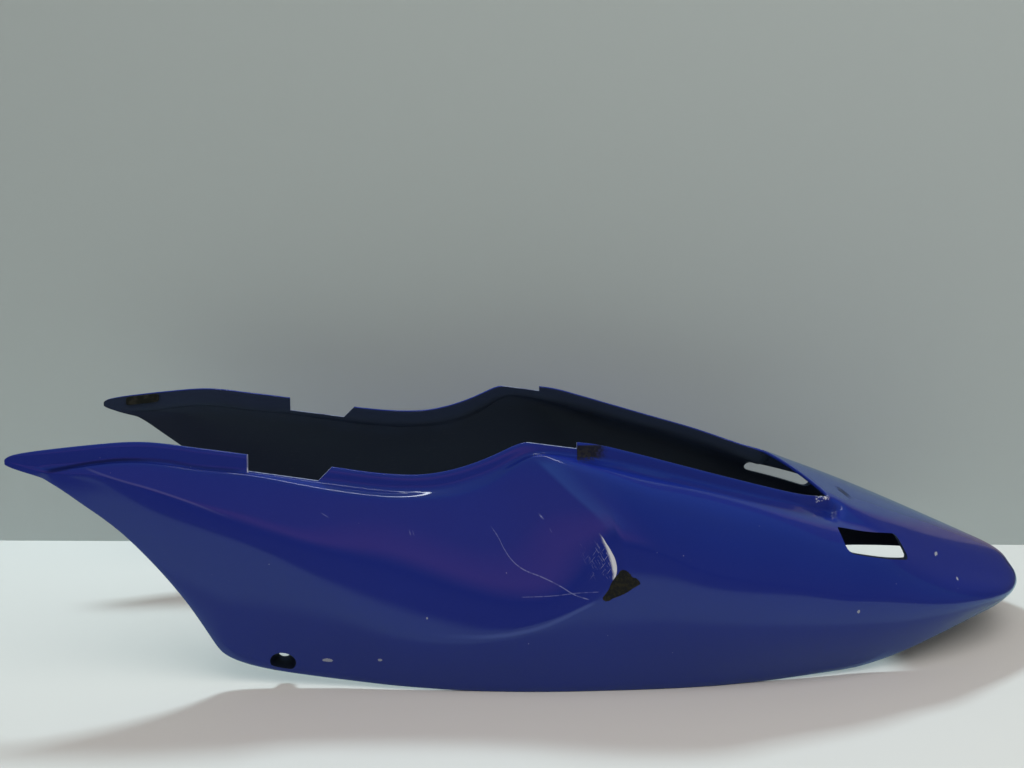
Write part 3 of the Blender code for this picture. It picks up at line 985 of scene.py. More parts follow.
def mixed(ends: Sequence[Any], share: float) -> Any:
    """Returns the value that lies at a share of the way from the first end to the second."""
    return ends[0] * (1 - share) + ends[1] * share


def bezier(points: Sequence[Any], t: float) -> np.ndarray:
    """Follows a Bezier curve.

    Args:
        points: its control points.
        t: the share of the way along it.

    Returns:
        The point at t.
    """
    rest = [np.array(p, float) for p in points]
    while len(rest) > 1:
        rest = [a + (b - a) * t for a, b in zip(rest, rest[1:])]
    return rest[0]


@dataclass(frozen=True)
class Lines:
    """The lines of the moulding along x, before it is centred. Widths are half widths."""

    top_z: Knots = (
        (-0.4310, 0.1755), (-0.4285, 0.1775), (-0.4240, 0.1790), (-0.4000, 0.1826), (-0.3610, 0.1868),
        (-0.3350, 0.1887), (-0.2880, 0.1835), (-0.2527, 0.1788), (-0.1870, 0.1689), (-0.1470, 0.1644),
        (-0.1250, 0.1640), (-0.1010, 0.1678), (-0.0710, 0.1780), (-0.0550, 0.1858), (-0.0467, 0.1892),
        (-0.0060, 0.1890), (0.0440, 0.1777), (0.0920, 0.1643), (0.1580, 0.1463), (0.1980, 0.1348),
        (0.2115, 0.1325), (0.2400, 0.1205), (0.2700, 0.1085), (0.3140, 0.0895), (0.3530, 0.0740),
        (0.3800, 0.0638), (0.3980, 0.0578), (0.4090, 0.0524), (0.4150, 0.0476),
    )
    top_y: Knots = (
        (-0.4310, 0.1320), (-0.3610, 0.1330), (-0.2527, 0.1360), (-0.1870, 0.1370), (-0.1470, 0.1420),
        (-0.1010, 0.1450), (-0.0060, 0.1440), (0.0440, 0.1380), (0.0920, 0.1340), (0.1580, 0.1270),
        (0.1850, 0.1130), (0.2000, 0.1020), (0.2115, 0.0960), (0.2400, 0.0915), (0.2700, 0.0845),
        (0.3140, 0.0700), (0.3530, 0.0550), (0.3800, 0.0430), (0.3980, 0.0320), (0.4090, 0.0205),
        (0.4150, 0.0095),
    )
    root_z: Knots = (
        (-0.4310, 0.1742), (-0.4240, 0.1736), (-0.4000, 0.1688), (-0.3770, 0.1702), (-0.3610, 0.1727),
        (-0.3380, 0.1744), (-0.2870, 0.1684), (-0.2525, 0.1655), (-0.2000, 0.1583), (-0.1390, 0.1522),
        (-0.1150, 0.1530), (-0.0860, 0.1598), (-0.0650, 0.1680), (-0.0470, 0.1776), (-0.0340, 0.1812),
        (-0.0060, 0.1785), (0.0440, 0.1682), (0.0920, 0.1551), (0.1330, 0.1446), (0.1580, 0.1378),
        (0.2115, 0.1182),
    )
    shoulder_z: Knots = (
        (-0.4310, 0.1738), (-0.4240, 0.1730), (-0.4000, 0.1680), (-0.3770, 0.1695), (-0.3610, 0.1720),
        (-0.3380, 0.1737), (-0.2870, 0.1675), (-0.2500, 0.1640), (-0.2000, 0.1545), (-0.1310, 0.1480),
        (-0.1000, 0.1500), (-0.0710, 0.1596), (-0.0550, 0.1710), (-0.0415, 0.1793), (-0.0340, 0.1812),
        (-0.0200, 0.1790), (0.0120, 0.1720), (0.0440, 0.1635), (0.0915, 0.1516), (0.1580, 0.1330),
        (0.2105, 0.1175), (0.2400, 0.1105), (0.2700, 0.0978), (0.3140, 0.0790), (0.3530, 0.0645),
        (0.3800, 0.0558), (0.3980, 0.0514), (0.4090, 0.0480), (0.4150, 0.0450),
    )
    shoulder_y: Knots = (
        (-0.4310, 0.1320), (-0.3610, 0.1332), (-0.2870, 0.1352), (-0.2500, 0.1370), (-0.2000, 0.1420),
        (-0.1310, 0.1490), (-0.1000, 0.1495), (-0.0340, 0.1480), (0.0120, 0.1475), (0.0440, 0.1435),
        (0.0915, 0.1395), (0.1580, 0.1320), (0.1850, 0.1195), (0.2105, 0.1075), (0.2400, 0.1065),
        (0.2700, 0.1015), (0.3140, 0.0865), (0.3530, 0.0705), (0.3800, 0.0575), (0.3980, 0.0445),
        (0.4090, 0.0285), (0.4150, 0.0135),
    )
    widest_z: Knots = (
        (-0.4310, 0.1732), (-0.4240, 0.1715), (-0.4040, 0.1655), (-0.4000, 0.1650), (-0.3680, 0.1600),
        (-0.3250, 0.1370), (-0.2370, 0.1020), (-0.1920, 0.0750), (-0.1470, 0.0510), (-0.1160, 0.0430),
        (-0.0930, 0.0425), (-0.0410, 0.0530), (0.0110, 0.0740), (0.0300, 0.0790), (0.0600, 0.0760),
        (0.1000, 0.0680), (0.1500, 0.0620), (0.2000, 0.0580), (0.2700, 0.0540), (0.3140, 0.0500),
        (0.3530, 0.0465), (0.3800, 0.0438), (0.3980, 0.0422), (0.4150, 0.0405),
    )
    widest_y: Knots = (
        (-0.4310, 0.1320), (-0.3680, 0.1345), (-0.3250, 0.1395), (-0.2370, 0.1490), (-0.1920, 0.1545),
        (-0.1470, 0.1620), (-0.0930, 0.1690), (-0.0410, 0.1745), (0.0110, 0.1795), (0.0600, 0.1820),
        (0.1000, 0.1810), (0.1500, 0.1755), (0.2000, 0.1655), (0.2400, 0.1555), (0.2700, 0.1455),
        (0.3000, 0.1335), (0.3230, 0.1215), (0.3470, 0.1065), (0.3585, 0.0985), (0.3800, 0.0790),
        (0.3980, 0.0545), (0.4090, 0.0345), (0.4150, 0.0165),
    )
    edge_z: Knots = (
        (-0.4310, 0.1718), (-0.4285, 0.1700), (-0.4240, 0.1682), (-0.4150, 0.1650), (-0.3990, 0.1598),
        (-0.3780, 0.1443), (-0.3490, 0.1224), (-0.3280, 0.1003), (-0.3060, 0.0735), (-0.2915, 0.0520),
        (-0.2780, 0.0290), (-0.2735, 0.0240), (-0.2640, 0.0190), (-0.2470, 0.0140), (-0.2155, 0.0095),
        (-0.1850, 0.0062), (-0.1395, 0.0028), (-0.0965, 0.0005), (-0.0850, 0.0000), (0.1300, 0.0000),
        (0.1770, 0.0022), (0.2210, 0.0044), (0.2620, 0.0130), (0.3000, 0.0245), (0.3230, 0.0286),
        (0.3470, 0.0318), (0.3585, 0.0332), (0.3800, 0.0352), (0.4150, 0.0368),
    )
    edge_y: Knots = (
        (-0.4310, 0.1320), (-0.3990, 0.1330), (-0.3490, 0.1345), (-0.3060, 0.1360), (-0.2735, 0.1370),
        (-0.2470, 0.1390), (-0.2155, 0.1430), (-0.1850, 0.1465), (-0.1395, 0.1540), (-0.0965, 0.1585),
        (-0.0750, 0.1605), (-0.0350, 0.1638), (0.0000, 0.1646), (0.0520, 0.1636), (0.0910, 0.1612),
        (0.1330, 0.1555), (0.1770, 0.1490), (0.2210, 0.1405), (0.2620, 0.1325), (0.3000, 0.1220),
        (0.3230, 0.1095), (0.3470, 0.0955), (0.3585, 0.0890), (0.3800, 0.0705), (0.3980, 0.0490),
        (0.4090, 0.0315), (0.4150, 0.0155),
    )
    crown_z: Knots = (
        (0.2115, 0.1358), (0.2400, 0.1285), (0.2660, 0.1193), (0.3140, 0.1000), (0.3530, 0.0832),
        (0.3870, 0.0684), (0.4000, 0.0625), (0.4090, 0.0568), (0.4150, 0.0512),
    )


@dataclass
class Moulding:
    """The painted shell: wings, inset flange, thigh recesses, closed tail and fastener wells."""

    paint: BluePaint
    plastic: BarePlastic
    edge: RubbedEdge
    lines: Lines = field(default_factory=Lines)
    wall: float = 0.003
    opening_rear_x: float = 0.2115
    groove_end: Pair = (0.2120, 0.2215)
    tongue_step_x: Pair = (-0.404, -0.400)
    tongue_step: float = 0.0032
    crown_flatness: float = 2.2
    tip: Colour = (0.4172, 0.0, 0.0445)
    under_tip: Colour = (0.4164, 0.0, 0.0369)
    ridge_x: float = -0.030
    ridge_lean: float = 0.056
    ridge_reach: Pair = (0.130, 0.150)
    lean_peak: float = 0.85
    lean_loss: float = 0.45
    recess_run_in: float = 0.045
    recess_fade: Pair = (-0.060, 0.030)
    recess_mix: Pair = (0.25, 0.70)
    root_inset: float = 0.0012
    root_inset_x: Pair = (-0.26, -0.20)
    lip_front_x: Pair = (-0.190, -0.090)
    tail_blend_x: Pair = (0.215, 0.300)
    tail_steepening: float = 1.15
    handle: float = 0.33
    dish_pull: Pair = (0.52, 0.45)
    dish_foot_degrees: Pair = (3.0, 6.0)
    roll_degrees: float = 4.0
    bulge_pull: Pair = (0.60, 0.50)
    bulge_foot: Pair = (0.60, 0.45)
    bulge_drop: float = 0.06
    skirt_pull: float = 0.45
    skin_share: float = 0.65
    skin_rise: Triple = (0.0, 0.0015, 0.0022)
    skin_steps: tuple[float, ...] = (0.33, 0.55, 0.78)
    stations: tuple[float, ...] = (
        -0.4310, -0.4285, -0.4240, -0.4150, -0.4040, -0.4000, -0.3880, -0.3750, -0.3610, -0.3450,
        -0.3280, -0.3140, -0.3010, -0.2900, -0.2790, -0.2735, -0.2620, -0.2450, -0.2250, -0.2030,
        -0.1830, -0.1630, -0.1430, -0.1240, -0.1080, -0.0930, -0.0790, -0.0670, -0.0560, -0.0467,
        -0.0380, -0.0300, -0.0200, -0.0060, 0.0120, 0.0310, 0.0520, 0.0760, 0.1010, 0.1270, 0.1540,
        0.1790, 0.1950, 0.2065, 0.2115, 0.2155, 0.2210, 0.2285, 0.2450, 0.2660, 0.2880, 0.3090, 0.3290,
        0.3470, 0.3630, 0.3760, 0.3870, 0.3965, 0.4040, 0.4100, 0.4142,
    )
    shoulder_round: float = 0.0022
    ledge_share: float = 0.66
    side_steps: int = 6
    skirt_steps: int = 3
    crown_steps: int = 5
    smoothing: int = 2
    rim_crease: float = 0.45
    lip_crease: float = 0.55
    root_crease: float = 0.75
    shoulder_crease: float = 0.25
    wing_crease: Knots = (
        (-0.3950, 0.0), (-0.3700, 0.75), (-0.3300, 0.65), (-0.2600, 0.35), (-0.2000, 0.0),
    )
    wing_ridge: Knots = (
        (-0.3950, 0.0), (-0.3600, 0.0009), (-0.3000, 0.0010), (-0.2300, 0.0006), (-0.1600, 0.0),
    )
    crescent_creases: tuple[float, ...] = (0.30, 0.55, 0.70, 0.60)
    wall_stretch: float = 1.6
    notch: Knots = (
        (-0.2527, 0.1662), (-0.2005, 0.1588), (-0.1875, 0.1720), (-0.1875, 0.2100), (-0.2527, 0.2100),
    )
    flange_step: Knots = ((-0.0467, 0.1892), (-0.0055, 0.1837), (-0.0055, 0.2100), (-0.0467, 0.2100))
    chip: Knots = (
        (0.1965, 0.1400), (0.1980, 0.1345), (0.2005, 0.1332), (0.2030, 0.1341), (0.2045, 0.1322),
        (0.2065, 0.1400),
    )
    slot: tuple[tuple[float, float, float], ...] = (
        (0.2070, 0.1152, 0.0015), (0.2670, 0.1020, 0.0075), (0.2680, 0.0875, 0.0035),
        (0.2072, 0.1010, 0.0100),
    )
    cut_reach: float = 0.2
    chip_inner_y: float = -0.08
    corner_steps: int = 8
    well_x: float = -0.2288
    well_mouth_z: float = 0.0196
    well_mouth: Pair = (0.0095, 0.0076)
    well_bore_z: float = 0.0221
    well_bore_radius: float = 0.0045
    well_depth: float = 0.0140
    well_wall: float = 0.0020
    well_floor: float = 0.0003
    well_set_in: float = 0.0012
    well_cut: Pair = (-0.012, 0.004)
    well_sides: int = 48
    sharp_degrees: float = 40.0

    def __post_init__(self) -> None:
        """Makes the finishes, in the order of the material slots."""
        plastic = self.plastic.material()
        self.skins = (self.paint.material(), plastic, self.edge.material(), plastic)

    def _out(self, x: float) -> float:
        """Returns how far the painted panel stands out from the tongue at x."""
        return self.tongue_step * ease(*self.tongue_step_x, x)

    def _lean(self, x: float, down: float) -> float:
        """Leans a section towards the tail.

        Args:
            x: the section's place.
            down: 0 at the shoulder, 1 at the widest line and 2 at the lower edge.

        Returns:
            The shift along x.
        """
        near = abs(x - self.ridge_x) / self.ridge_reach[x >= self.ridge_x]
        if near >= 1:
            return 0.0
        bump = math.cos(0.5 * math.pi * near) ** 2
        if down < self.lean_peak:
            lean = math.sin(0.5 * math.pi * down / self.lean_peak)
        else:
            lean = 1 - self.lean_loss * ease(self.lean_peak, 2.0, down)
        return self.ridge_lean * bump * lean

    def _recess(self, x: float, down: float) -> float:
        """Tells the thigh recess from the rear body, softly above and crisply at the crescent.

        Args:
            x: the section's place.
            down: 0 at the shoulder and 1 at the widest line.

        Returns:
            0 in the recess and 1 on the rear body.
        """
        soft = ease(*self.recess_fade, x - self.ridge_x)
        crisp = max(0.0, 1 - max(0.0, self.ridge_x - x) / self.recess_run_in) ** 2
        mix = ease(*self.recess_mix, down)
        return soft * (1 - mix) + crisp * mix

    def _on_line(self, x: float, across: Knots, up: Knots, out: bool = True) -> np.ndarray:
        """Reads a point of the outer face.

        Args:
            x: the point's place.
            across: the half widths along x.
            up: the heights along x.
            out: whether it lies on the panel that stands out from the tongue.

        Returns:
            The point.
        """
        return np.array((x, knots_at(across, x) + (self._out(x) if out else 0.0), knots_at(up, x)))

    def _side(self, x: float, top: np.ndarray, shoulder: np.ndarray, widest: np.ndarray) -> list[np.ndarray]:
        """Works out the side at one station, dished in the thigh recess and bulged behind it.

        Args:
            x: the station.
            top: the flange's top.
            shoulder: the side's upper end.
            widest: the side's lower end.

        Returns:
            Points from the shoulder to the widest line.
        """
        out_y, fall = widest[1] - shoulder[1], shoulder[2] - widest[2]
        lip, tail = ease(*self.lip_front_x, x), ease(*self.tail_blend_x, x)
        handle = self.handle * fall
        foot = math.tan(math.radians(mixed(self.dish_foot_degrees, lip)))
        dished = (
            shoulder[1:],
            shoulder[1:] + (mixed(self.dish_pull, lip) * out_y, -handle),
            widest[1:] + (-handle * foot, handle),
            widest[1:],
        )
        skin_slope = 0.0
        if tail:
            skin_slope = self.tail_steepening * (top[2] - shoulder[2]) / (shoulder[1] - top[1])
        drop_in = mixed((self.bulge_drop * fall, 0.5 * min(out_y * skin_slope, fall)), tail)
        bulged = (
            shoulder[1:],
            shoulder[1:] + (mixed(self.bulge_pull, tail) * out_y, -drop_in),
            widest[1:] + (0.0, mixed(self.bulge_foot, tail) * fall),
            widest[1:],
        )
        side = []
        for i in range(self.side_steps + 1):
            down = i / self.side_steps
            share = self._recess(x, down)
            y, z = mixed((bezier(dished, down), bezier(bulged, down)), share)
            y += knots_at(self.wing_ridge, x) * (1 - abs(2 * down - 1))
            side.append(np.array((x + self._lean(x, down), y, z)))
        return side

    def _skirt(self, x: float, widest: np.ndarray, edge: np.ndarray) -> list[np.ndarray]:
        """Works out the skirt at one station.

        Args:
            x: the station.
            widest: the skirt's upper end.
            edge: the lower edge.

        Returns:
            Points below the widest line down to the lower edge.
        """
        drop = widest[2] - edge[2]
        lip = ease(*self.lip_front_x, x)
        roll = -self.handle * drop * math.tan(math.radians(self.roll_degrees * lip))
        roll = roll * (1 - self._recess(x, 1.0))
        curved = (
            widest,
            widest + ((edge[0] - widest[0]) / 3, roll, -drop / 3),
            edge + ((widest[0] - edge[0]) / 3, (widest[1] - edge[1]) * self.skirt_pull, drop / 3),
            edge,
        )
        return [bezier(curved, i / self.skirt_steps) for i in range(1, self.skirt_steps + 1)]

    def _half_section(self, x: float) -> list[np.ndarray]:
        """Works out the outer face at one station.

        Args:
            x: the station.

        Returns:
            Points from the flange top down to the lower edge.
        """
        lines, tail = self.lines, ease(*self.tail_blend_x, x)
        top = self._on_line(x, lines.top_y, lines.top_z, False)
        shoulder = self._on_line(x, lines.shoulder_y, lines.shoulder_z)
        inset = self.root_inset * ease(*self.root_inset_x, x)
        root = np.array((x, top[1] + inset, knots_at(lines.root_z, x)))
        widest = self._on_line(x + self._lean(x, 1.0), lines.widest_y, lines.widest_z)
        edge = self._on_line(x + self._lean(x, 2.0), lines.edge_y, lines.edge_z)
        side = self._side(x, top, shoulder, widest)
        first = side[1] - side[0]
        start = side[0] + first * min(0.45, self.shoulder_round / float(np.linalg.norm(first)))
        inner = root + (shoulder - root) * self.ledge_share
        round_mid = bezier((inner, shoulder, start), 0.5)
        flat = ease(*self.groove_end, x)
        if flat > 0:
            over = mixed((top, shoulder), self.skin_share) + np.array(self.skin_rise) * (1 - tail)
            skin = [bezier((top, over, start), t) for t in self.skin_steps]
            root, inner, round_mid = (mixed(ends, flat) for ends in zip((root, inner, round_mid), skin))
        return [top, root, inner, round_mid, start, *side[1:], *self._skirt(x, widest, edge)]

    def _crown(self, x: float, top: np.ndarray) -> list[np.ndarray]:
        """Works out the crown of the closed tail at one station.

        Args:
            x: the station.
            top: the flange's top.

        Returns:
            Points from beside the top line to the one on y = 0.
        """
        crown = knots_at(self.lines.crown_z, x)
        shares = [1 - i / self.crown_steps for i in range(1, self.crown_steps + 1)]
        rise = crown - top[2]
        return [np.array((x, top[1] * s, crown - rise * s**self.crown_flatness)) for s in shares]

    def _sheet(self) -> tuple[bmesh.types.BMesh, set, list]:
        """Lays the cage of the outer face.

        Returns:
            The sheet, the vertices of its lower edge, and the edges of the recess with their creases.
        """
        sheet = bmesh.new()
        sheet.edges.layers.float.new("crease_edge")
        columns: dict[int, list] = {-1: [], 1: []}
        crowns = []
        for x in self.stations:
            half = self._half_section(x)
            for side in Side:
                flip = np.array((1, side.value, 1))
                columns[side.value].append([sheet.verts.new(p * flip) for p in half])
            if x >= self.opening_rear_x:
                arch = self._crown(x, half[0])
                left = [sheet.verts.new(p * (1, -1, 1)) for p in arch[:-1]]
                right = [sheet.verts.new(p) for p in arch]
                crowns.append([columns[-1][-1][0], *left, right[-1], *right[-2::-1], columns[1][-1][0]])
        tip, under = sheet.verts.new(self.tip), sheet.verts.new(self.under_tip)
        for value, grid in columns.items():
            for a, b in zip(grid, grid[1:]):
                for i in range(len(a) - 1):
                    ring = (a[i], a[i + 1], b[i + 1], b[i])
                    sheet.faces.new(ring if value < 0 else ring[::-1])
            last = [*grid[-1], under]
            for i in range(len(last) - 1):
                ring = (last[i], last[i + 1], tip)
                sheet.faces.new(ring if value < 0 else ring[::-1])
        for a, b in zip(crowns, crowns[1:]):
            for i in range(len(a) - 1):
                sheet.faces.new((a[i + 1], a[i], b[i], b[i + 1]))
        last = crowns[-1]
        for i in range(len(last) - 1):
            sheet.faces.new((last[i + 1], last[i], tip))
        edge_verts = {column[-1] for grid in columns.values() for column in grid} | {under}
        ridge = self.stations.index(self.ridge_x)
        crest = []
        for grid in columns.values():
            points = grid[ridge][Row.CREST : Row.LIP + 1]
            for a, b, crease in zip(points, points[1:], self.crescent_creases):
                crest.append((sheet.edges.get((a, b)), crease))
            for x, a, b in zip(self.stations, grid, grid[1:]):
                flange = 1 - ease(*self.groove_end, x)
                lip = self.lip_crease * ease(*self.lip_front_x, x) if x < self.ridge_x else 0.0
                levels = (
                    (Row.ROOT, self.root_crease * flange),
                    (Row.SHOULDER, self.shoulder_crease * flange),
                    (Row.WING, knots_at(self.wing_crease, x)),
                    (Row.LIP, lip),
                )
                crest += [(sheet.edges.get((a[row], b[row])), crease) for row, crease in levels]
        return sheet, edge_verts, crest

    def _cage(self) -> bpy.types.Object:
        """Returns the closed cage: outer face, inner face one wall inside it, and rims."""
        sheet, edge_verts, crest = self._sheet()
        crease = sheet.edges.layers.float["crease_edge"]
        for edge, value in crest:
            edge[crease] = value
        sheet.normal_update()
        outer, faces = list(sheet.verts), list(sheet.faces)
        rims = [edge for edge in sheet.edges if edge.is_boundary]
        places = {}
        for vert in outer:
            place = vert.co - vert.normal * self.wall * min(vert.calc_shell_factor(), self.wall_stretch)
            if vert in edge_verts:
                place.z = vert.co.z
            places[vert] = place
        inner = {vert: sheet.verts.new(place) for vert, place in places.items()}
        for face in faces:
            face.material_index = Skin.PAINTED.value
            sheet.faces.new([inner[v] for v in reversed(face.verts)]).material_index = Skin.BARE.value
        for edge in rims:
            loop = next(l for l in edge.link_faces[0].loops if l.edge == edge)
            a, b = loop.vert, loop.link_loop_next.vert
            sheet.faces.new((b, a, inner[a], inner[b])).material_index = Skin.PAINTED.value
            edge[crease] = self.rim_crease
            sheet.edges.get((inner[a], inner[b]))[crease] = self.rim_crease
        return self._object("fairing_cage", sheet)

    def _object(self, name: str, mesh_data: bmesh.types.BMesh) -> bpy.types.Object:
        """Makes an object of mesh data, moved so that the finished part is centred.

        Args:
            name: the object's name.
            mesh_data: the mesh, which is freed.

        Returns:
            The object.
        """
        bmesh.ops.recalc_face_normals(mesh_data, faces=mesh_data.faces[:])
        bmesh.ops.translate(mesh_data, verts=mesh_data.verts[:], vec=(CENTRE_SHIFT, 0.0, 0.0))
        mesh = bpy.data.meshes.new(name)
        for face in mesh_data.faces:
            face.smooth = True
        mesh_data.to_mesh(mesh)
        mesh_data.free()
        for finish in self.skins:
            mesh.materials.append(finish)
        obj = bpy.data.objects.new(name, mesh)
        bpy.context.scene.collection.objects.link(obj)
        return obj

    @staticmethod
    def _add_solid(solid: bmesh.types.BMesh, loops: Sequence[Sequence[Any]], skin: Skin) -> None:
        """Adds a closed solid.

        Args:
            solid: the mesh that it joins.
            loops: loops of points along it, each of the same count.
            skin: the material slot of its faces.
        """
        rows = [[solid.verts.new(p) for p in loop] for loop in loops]
        count = len(rows[0])
        faces = [solid.faces.new(rows[0][::-1]), solid.faces.new(rows[-1])]
        for a, b in zip(rows, rows[1:]):
            for i in range(count):
                faces.append(solid.faces.new((a[i], a[(i + 1) % count], b[(i + 1) % count], b[i])))
        for face in faces:
            face.material_index = skin.value

    def _slot_outline(self) -> list[tuple[float, float]]:
        """Returns the outline of the side slots in x and z, with its corners rounded."""
        outline = []
        for i, (x, z, radius) in enumerate(self.slot):
            here = np.array((x, z))
            before = np.array(self.slot[i - 1][:2]) - here
            after = np.array(self.slot[(i + 1) % len(self.slot)][:2]) - here
            before, after = before / np.linalg.norm(before), after / np.linalg.norm(after)
            run = radius / math.tan(0.5 * math.acos(float(np.clip(before @ after, -1, 1))))
            corner = (here + before * run, here, here + after * run)
            outline += [tuple(bezier(corner, k / self.corner_steps)) for k in range(self.corner_steps + 1)]
        return outline

    def _well_loops(
        self, side: Side, grow: float, depths: Sequence[float]
    ) -> list[list[tuple[float, float, float]]]:
        """Works out the oval loops of a fastener well, from its mouth to its bore.

        Args:
            side: the wing.
            grow: how far outside the well's surface the loops lie.
            depths: how deep each loop lies.

        Returns:
            One loop of points for each depth.
        """
        face_y = self._half_section(self.well_x)[-1][1]
        loops = []
        for depth in depths:
            inward = depth / self.well_depth
            half_x, half_z = (m + (self.well_bore_radius - m) * inward + grow for m in self.well_mouth)
            z = self.well_mouth_z + (self.well_bore_z - self.well_mouth_z) * inward
            loop = []
            for i in range(self.well_sides):
                turn = 2 * math.pi * i / self.well_sides
                x = self.well_x + half_x * math.cos(turn)
                floor = knots_at(self.lines.edge_z, x) + self.well_floor
                loop.append((x, side.value * (face_y - depth), max(z + half_z * math.sin(turn), floor)))
            loops.append(loop)
        return loops

    def _openings(self) -> bpy.types.Object:
        """Returns one tool with the notch, the flange step, the broken corner, the slots and the bores."""
        solid = bmesh.new()
        reach = self.cut_reach
        cuts = (
            (self.notch, reach, Skin.CUT), (self.flange_step, reach, Skin.CUT),
            (self._slot_outline(), reach, Skin.BORE), (self.chip, self.chip_inner_y, Skin.CUT),
        )
        for outline, inner_y, skin in cuts:
            self._add_solid(solid, [[(x, y, z) for x, z in outline] for y in (-reach, inner_y)], skin)
        depths = (self.well_cut[0], self.well_depth + self.well_cut[1])
        for side in Side:
            self._add_solid(solid, self._well_loops(side, 0.0, depths), Skin.BORE)
        return self._object("openings_tool", solid)

    def _well_bodies(self) -> bpy.types.Object:
        """Returns one tool with the tubes of both fastener wells."""
        solid = bmesh.new()
        depths = (self.well_set_in, self.well_depth)
        for side in Side:
            self._add_solid(solid, self._well_loops(side, self.well_wall, depths), Skin.BORE)
        return self._object("wells_tool", solid)

    @staticmethod
    def _evaluated(obj: bpy.types.Object, name: str) -> bpy.types.Mesh:
        """Applies an object's modifiers.

        Args:
            obj: the object, which stays as it is.
            name: the new mesh's name.

        Returns:
            The mesh.
        """
        bpy.context.view_layer.update()
        graph = bpy.context.evaluated_depsgraph_get()
        mesh = bpy.data.meshes.new_from_object(obj.evaluated_get(graph), depsgraph=graph)
        mesh.name = name
        return mesh

    @staticmethod
    def _keep_skin_shading(mesh: bpy.types.Mesh, smooth: bpy.types.Mesh) -> None:
        """Shades the cut moulding as the uncut one, so that no opening dents the reflections round it.

        Args:
            mesh: the cut moulding.
            smooth: the uncut moulding.
        """
        corners = [tuple(t.vertices) for t in smooth.loop_triangles]
        tree = BVHTree.FromPolygons([v.co for v in smooth.vertices], corners)
        normals = np.zeros(len(smooth.vertices) * 3, np.float32)
        smooth.vertex_normals.foreach_get("vector", normals)
        normals = normals.reshape(-1, 3)
        places = np.array([v.co for v in smooth.vertices])
        found: dict[int, Vector] = {}

        def normal_at(index: int) -> Vector:
            """Reads the uncut moulding's normal at a vertex of the cut one.

            Args:
                index: the vertex's number in the cut moulding.

            Returns:
                The normal.
            """
            if index not in found:
                near, _, face, _ = tree.find_nearest(mesh.vertices[index].co)
                a, b, c = corners[face]
                ab, ac, ap = places[b] - places[a], places[c] - places[a], np.array(near) - places[a]
                d00, d01, d11, d20, d21 = ab @ ab, ab @ ac, ac @ ac, ap @ ab, ap @ ac
                scale = max(d00 * d11 - d01 * d01, 1e-18)
                v, w = (d11 * d20 - d01 * d21) / scale, (d00 * d21 - d01 * d20) / scale
                found[index] = Vector(normals[a] * (1 - v - w) + normals[b] * v + normals[c] * w).normalized()
            return found[index]

        loops = [Vector(n.vector) for n in mesh.corner_normals]
        for face in mesh.polygons:
            if face.material_index in (Skin.PAINTED.value, Skin.BARE.value):
                for k in face.loop_indices:
                    loops[k] = normal_at(mesh.loops[k].vertex_index)
        mesh.normals_split_custom_set(loops)

    @staticmethod
    def _sharpen(mesh: bpy.types.Mesh, degrees: float) -> None:
        """Marks the edges that turn by more than an angle as sharp.

        Args:
            mesh: the mesh, which is changed.
            degrees: the angle.
        """
        work = bmesh.new()
        work.from_mesh(mesh)
        for edge in work.edges:
            edge.smooth = edge.calc_face_angle(0.0) < math.radians(degrees)
        work.to_mesh(mesh)
        work.free()

    def build(self) -> bpy.types.Object:
        """Returns the finished moulding, dressed and riding on the frame."""
        shell = self._cage()
        smoothing = shell.modifiers.new("smooth_skin", "SUBSURF")
        smoothing.levels = smoothing.render_levels = self.smoothing
        smooth = self._evaluated(shell, "uncut_moulding")
        smooth.calc_loop_triangles()
        for tool, operation in ((self._well_bodies(), "UNION"), (self._openings(), "DIFFERENCE")):
            cut = shell.modifiers.new(tool.name, "BOOLEAN")
            cut.operation, cut.solver, cut.object = operation, "EXACT", tool
            cut.material_mode = "INDEX"
        mesh = self._evaluated(shell, "fairing_moulding")
        for tool in [m.object for m in shell.modifiers if m.type == "BOOLEAN"]:
            bpy.data.objects.remove(tool, do_unlink=True)
        bpy.data.objects.remove(shell, do_unlink=True)
        self._sharpen(mesh, self.sharp_degrees)
        self._keep_skin_shading(mesh, smooth)
        bpy.data.meshes.remove(smooth)
        piece = bpy.data.objects.new("fairing_moulding", mesh)
        bpy.context.scene.collection.objects.link(piece)
        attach(piece, "root")
        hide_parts("fairing_shell")
        return piece


